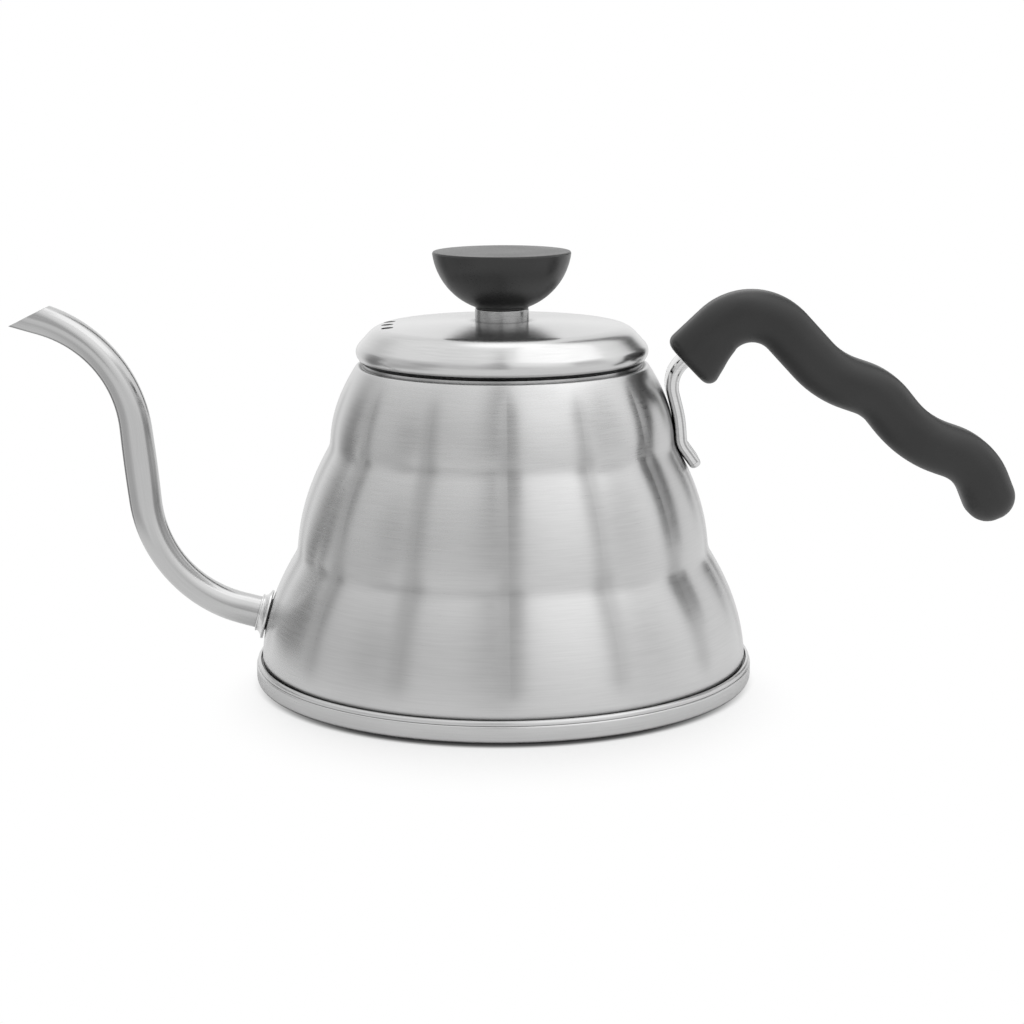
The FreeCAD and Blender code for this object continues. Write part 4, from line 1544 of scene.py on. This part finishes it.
@dataclass(frozen=True)
class Flag:
    """An upright dark card in the surround, with soft edges.

    Args:
        left: Angle of its left edge from the camera's side, in degrees towards the grip.
        right: Angle of its right edge.
        left_soft: Width over which the left edge fades.
        right_soft: Width over which the right edge fades.
        top: Height angle of its top, in degrees.
        level: Brightness of the card.
        fade_from: Share of that angle from which the card fades.
    """

    left: float
    right: float
    left_soft: float
    right_soft: float
    top: float
    level: float
    fade_from: float = 0.8

    def share(self, graph: Graph, way: Socket) -> Socket:
        """Share of the card at a direction.

        Args:
            graph: The surround's nodes.
            way: Direction looked in.

        Returns:
            1 on the card and 0 beside it or above it.
        """
        top = math.radians(self.top)
        span = (math.sin(top * self.fade_from), math.sin(top))
        under = graph.remap(graph.parts(way)[2], span, FALLING)
        return graph.product(self.between(graph, way), under)

    def between(self, graph: Graph, way: Socket) -> Socket:
        """Share of the card at a direction or a place around the kettle, at any height.

        Args:
            graph: Nodes of the surround or of the floor.
            way: The direction or the place.

        Returns:
            1 between the card's edges and 0 outside them.
        """
        across, depth, _ = graph.parts(way)
        angle = graph.maths("ARCTAN2", across, graph.product(depth, -1.0))
        left, right = math.radians(self.left), math.radians(self.right)
        enter = graph.remap(angle, (left, left + math.radians(self.left_soft)), RISING)
        leave = graph.remap(angle, (right - math.radians(self.right_soft), right), FALLING)
        return graph.product(enter, leave)


@dataclass(frozen=True)
class PaleFloor(Finish):
    """A pale sheet under the kettle and a dim room beyond it, all white to the camera.

    A pair is the distances from a spot over which something fades.

    Args:
        paper: Brightness of the sheet.
        strips: Dark strips of the room.
        glow: Light that the sheet itself adds for the camera.
        shade: Where a reflection sees the floor brighten.
        pool: Where the camera sees the kettle's shadow fade; its middle lies pool_ahead of the axis.
        contact_shadow: Where the shadow painted under the pan fades; its middle lies contact_shadow_ahead of
            the axis.
        contact_shadow_level: Share of the light that is left in that painted shadow.
    """

    paper: float = 0.9
    sheet: Pair = (150.0 * MM, 230.0 * MM)
    strips: tuple[Flag, ...] = (
        Flag(left=-104.0, right=-40.0, left_soft=8.0, right_soft=30.0, top=30.0, level=0.6),
        Flag(left=-142.0, right=-102.0, left_soft=20.0, right_soft=8.0, top=30.0, level=0.25))
    glow: float = 0.16
    shade: Pair = (66.0 * MM, 91.0 * MM)
    pool: Pair = (42.0 * MM, 79.0 * MM)
    pool_ahead: float = 28.0 * MM
    contact_shadow: Pair = (65.2 * MM, 68.2 * MM)
    contact_shadow_ahead: float = 2.2 * MM
    contact_shadow_level: float = 0.12

    def from_spot(self, graph: Graph, ahead: float) -> Socket:
        """Distance from a spot ahead of the kettle's axis, towards the camera.

        Args:
            graph: The floor's nodes.
            ahead: How far the spot lies ahead of the axis.

        Returns:
            The distance.
        """
        inputs = {0: graph.place(), 1: (0.0, ahead, 0.0)}
        shifted = graph.add("VectorMath", inputs, operation="ADD").outputs["Vector"]
        return graph.add("VectorMath", {0: shifted}, operation="LENGTH").outputs["Value"]

    def shader(self, graph: Graph) -> Socket:
        """Adds the sheet with the kettle's shadow on it, and the room beyond.

        Args:
            graph: The material's nodes.

        Returns:
            The shader.
        """
        seen, shown = graph.views()
        away = self.from_spot(graph, 0.0)
        off_sheet = graph.remap(away, self.sheet, RISING)
        tone = self.paper
        for strip in self.strips:
            share = graph.product(strip.between(graph, graph.place()), off_sheet)
            tone = graph.mix(share, tone, strip.level)
        # Painted contact shadow under the pan's front, for the camera only; it darkens the sheet's colour and
        # its glow.
        under = self.from_spot(graph, self.contact_shadow_ahead)
        contact_shadow = graph.mix(seen, 1.0, graph.remap(under, self.contact_shadow, (self.contact_shadow_level, 1.0)))
        matt = graph.add("BsdfDiffuse", {"Color": graph.grey(graph.product(tone, contact_shadow))})
        glow = graph.add("Emission", {"Strength": graph.product(seen, self.glow, contact_shadow)})
        near = graph.add("AddShader", {0: matt.outputs[0], 1: glow.outputs[0]})
        mirrored = graph.product(graph.remap(away, self.shade, RISING), shown)
        open_floor = graph.remap(self.from_spot(graph, self.pool_ahead), self.pool, RISING)
        white = graph.add("Emission", {"Strength": graph.mix(seen, tone, 1.0)})
        far = graph.mix(seen, mirrored, open_floor)
        return graph.add("MixShader", {0: far, 1: near.outputs[0], 2: white.outputs[0]}).outputs[0]


@dataclass
class Studio:
    """Camera, floor, white surround and softbox.

    Args:
        lens: Focal length for the frame's width.
        distance: Distance of the camera from the kettle's axis.
        pitch: How far the camera looks down, in degrees.
        yaw: How far it is turned to the right, in degrees.
        roll: How far it is tilted about its own line of sight, in degrees.
        floor_reach: Half the side of the floor.
        plain: Brightness of the surround for the light that it gives.
        dim_side: Its brightness to a reflection on the spout's side.
        sides: Sideways span from there to the bright side.
        rise: Upward span over which the overhead brightness is added.
        back: Span over which the surround turns white behind the kettle.
        box_azimuth: Direction of the softbox from the camera's side, in degrees towards the grip.
        box_aim: Height that the softbox faces.
    """

    lens: float = 78.12
    frame_width: float = 36.0
    near: float = 10.0 * MM
    distance: float = 586.8 * MM
    height: float = 166.4 * MM
    pitch: float = 11.76
    yaw: float = 0.2405
    roll: float = -0.212
    floor_reach: float = 6.0
    plain: float = 0.85
    dim_side: float = 0.72
    bright_side: float = 0.92
    sides: Pair = (-0.7, 0.6)
    overhead: float = 0.2
    rise: Pair = (0.3, 0.9)
    back: Pair = (0.55, 0.95)
    patches: tuple[Patch | Flag, ...] = (
        Patch(azimuth=75.0, elevation=55.0, inner=5.0, outer=70.0, level=1.15),
        Patch(azimuth=42.0, elevation=45.0, inner=4.0, outer=26.0, level=1.25),
        Patch(azimuth=-122.0, elevation=60.0, inner=5.0, outer=35.0, level=1.1),
        Flag(left=-140.0, right=-102.0, left_soft=20.0, right_soft=8.0, top=20.0, level=0.3),
        Patch(azimuth=-64.0, elevation=15.0, inner=2.0, outer=18.0, level=0.55),
        Flag(left=-28.0, right=8.0, left_soft=32.0, right_soft=6.0, top=88.0, level=0.5),
        Flag(left=56.0, right=100.0, left_soft=5.0, right_soft=20.0, top=38.0, level=0.78),
        Flag(left=136.0, right=156.0, left_soft=6.0, right_soft=6.0, top=65.0, level=0.08),
        Patch(azimuth=180.0, elevation=76.0, inner=6.0, outer=18.0, level=1.7))
    box_azimuth: float = 85.0
    box_elevation: float = 62.0
    box_away: float = 1.4
    box_size: float = 1.0
    box_power: float = 1.4
    box_aim: float = 50.0 * MM

    def place_camera(self) -> None:
        """Sets the camera where the photograph was taken from."""
        data = bpy.data.cameras.new("view")
        data.sensor_width = self.frame_width
        data.lens = self.lens
        data.clip_start = self.near
        camera = placed("view", data)
        turn = (Matrix.Rotation(math.radians(-self.yaw), 4, "Z")
                @ Matrix.Rotation(math.radians(QUARTER_TURN - self.pitch), 4, "X")
                @ Matrix.Rotation(math.radians(self.roll), 4, "Z"))
        camera.matrix_world = Matrix.Translation((0.0, -self.distance, self.height)) @ turn
        bpy.context.scene.camera = camera

    def lay_floor(self) -> None:
        """Lays the wide floor that the kettle stands on."""
        far = self.floor_reach
        mesh = bpy.data.meshes.new("floor")
        mesh.from_pydata([(-far, -far, 0.0), (far, -far, 0.0), (far, far, 0.0), (-far, far, 0.0)],
                         [], [(0, 1, 2, 3)])
        floor = placed("floor", mesh)
        dress(floor, PaleFloor("pale_floor").material())

    def light_surround(self) -> None:
        """Lights a white surround: dimmer towards the spout, brighter towards the grip and overhead."""
        world = bpy.data.worlds.new("studio")
        bpy.context.scene.world = world
        world.use_nodes = True
        graph = Graph(world.node_tree)
        way = graph.add("TexCoord").outputs["Generated"]
        across, depth, rise = graph.parts(way)
        level = graph.maths("ADD", graph.remap(across, self.sides, (self.dim_side, self.bright_side)),
                            graph.remap(rise, self.rise, (0.0, self.overhead)))
        level = graph.mix(graph.remap(depth, self.back, RISING), level, 1.0)
        for patch in self.patches:
            level = graph.mix(patch.share(graph, way), level, patch.level)
        seen, shown = graph.views()
        strength = graph.mix(shown, self.plain, graph.mix(seen, level, 1.0))
        light = graph.add("Background", {"Color": (1.0, 1.0, 1.0, 1.0), "Strength": strength})
        graph.add("OutputWorld", {"Surface": light.outputs[0]})

    def hang_softbox(self) -> None:
        """Hangs one square softbox that faces the kettle."""
        data = bpy.data.lights.new("key_softbox", "AREA")
        data.shape = "SQUARE"
        data.size = self.box_size
        data.energy = self.box_power
        lamp = placed("key_softbox", data)
        way = bearing(self.box_azimuth, self.box_elevation)
        lamp.location = Vector((0.0, 0.0, self.box_aim)) + way * self.box_away
        lamp.rotation_euler = way.to_track_quat("Z", "Y").to_euler()

    def build(self) -> None:
        """Sets up the whole studio."""
        self.place_camera()
        self.lay_floor()
        self.light_surround()
        self.hang_softbox()
        bpy.context.scene.view_settings.view_transform = "Standard"


def main() -> None:
    """Builds and dresses the kettle's sub-assemblies in order, then the studio."""
    logging.basicConfig(level=logging.INFO, format="%(name)s: %(message)s")
    finishes = Finishes()
    spout = Spout()
    for assembly in (BodyShell(spout.root_place(0.0)), BasePan(), spout, Handle(), Lid()):
        assembly.fit(finishes)
    Studio().build()


if __name__ == "__main__":
    main()
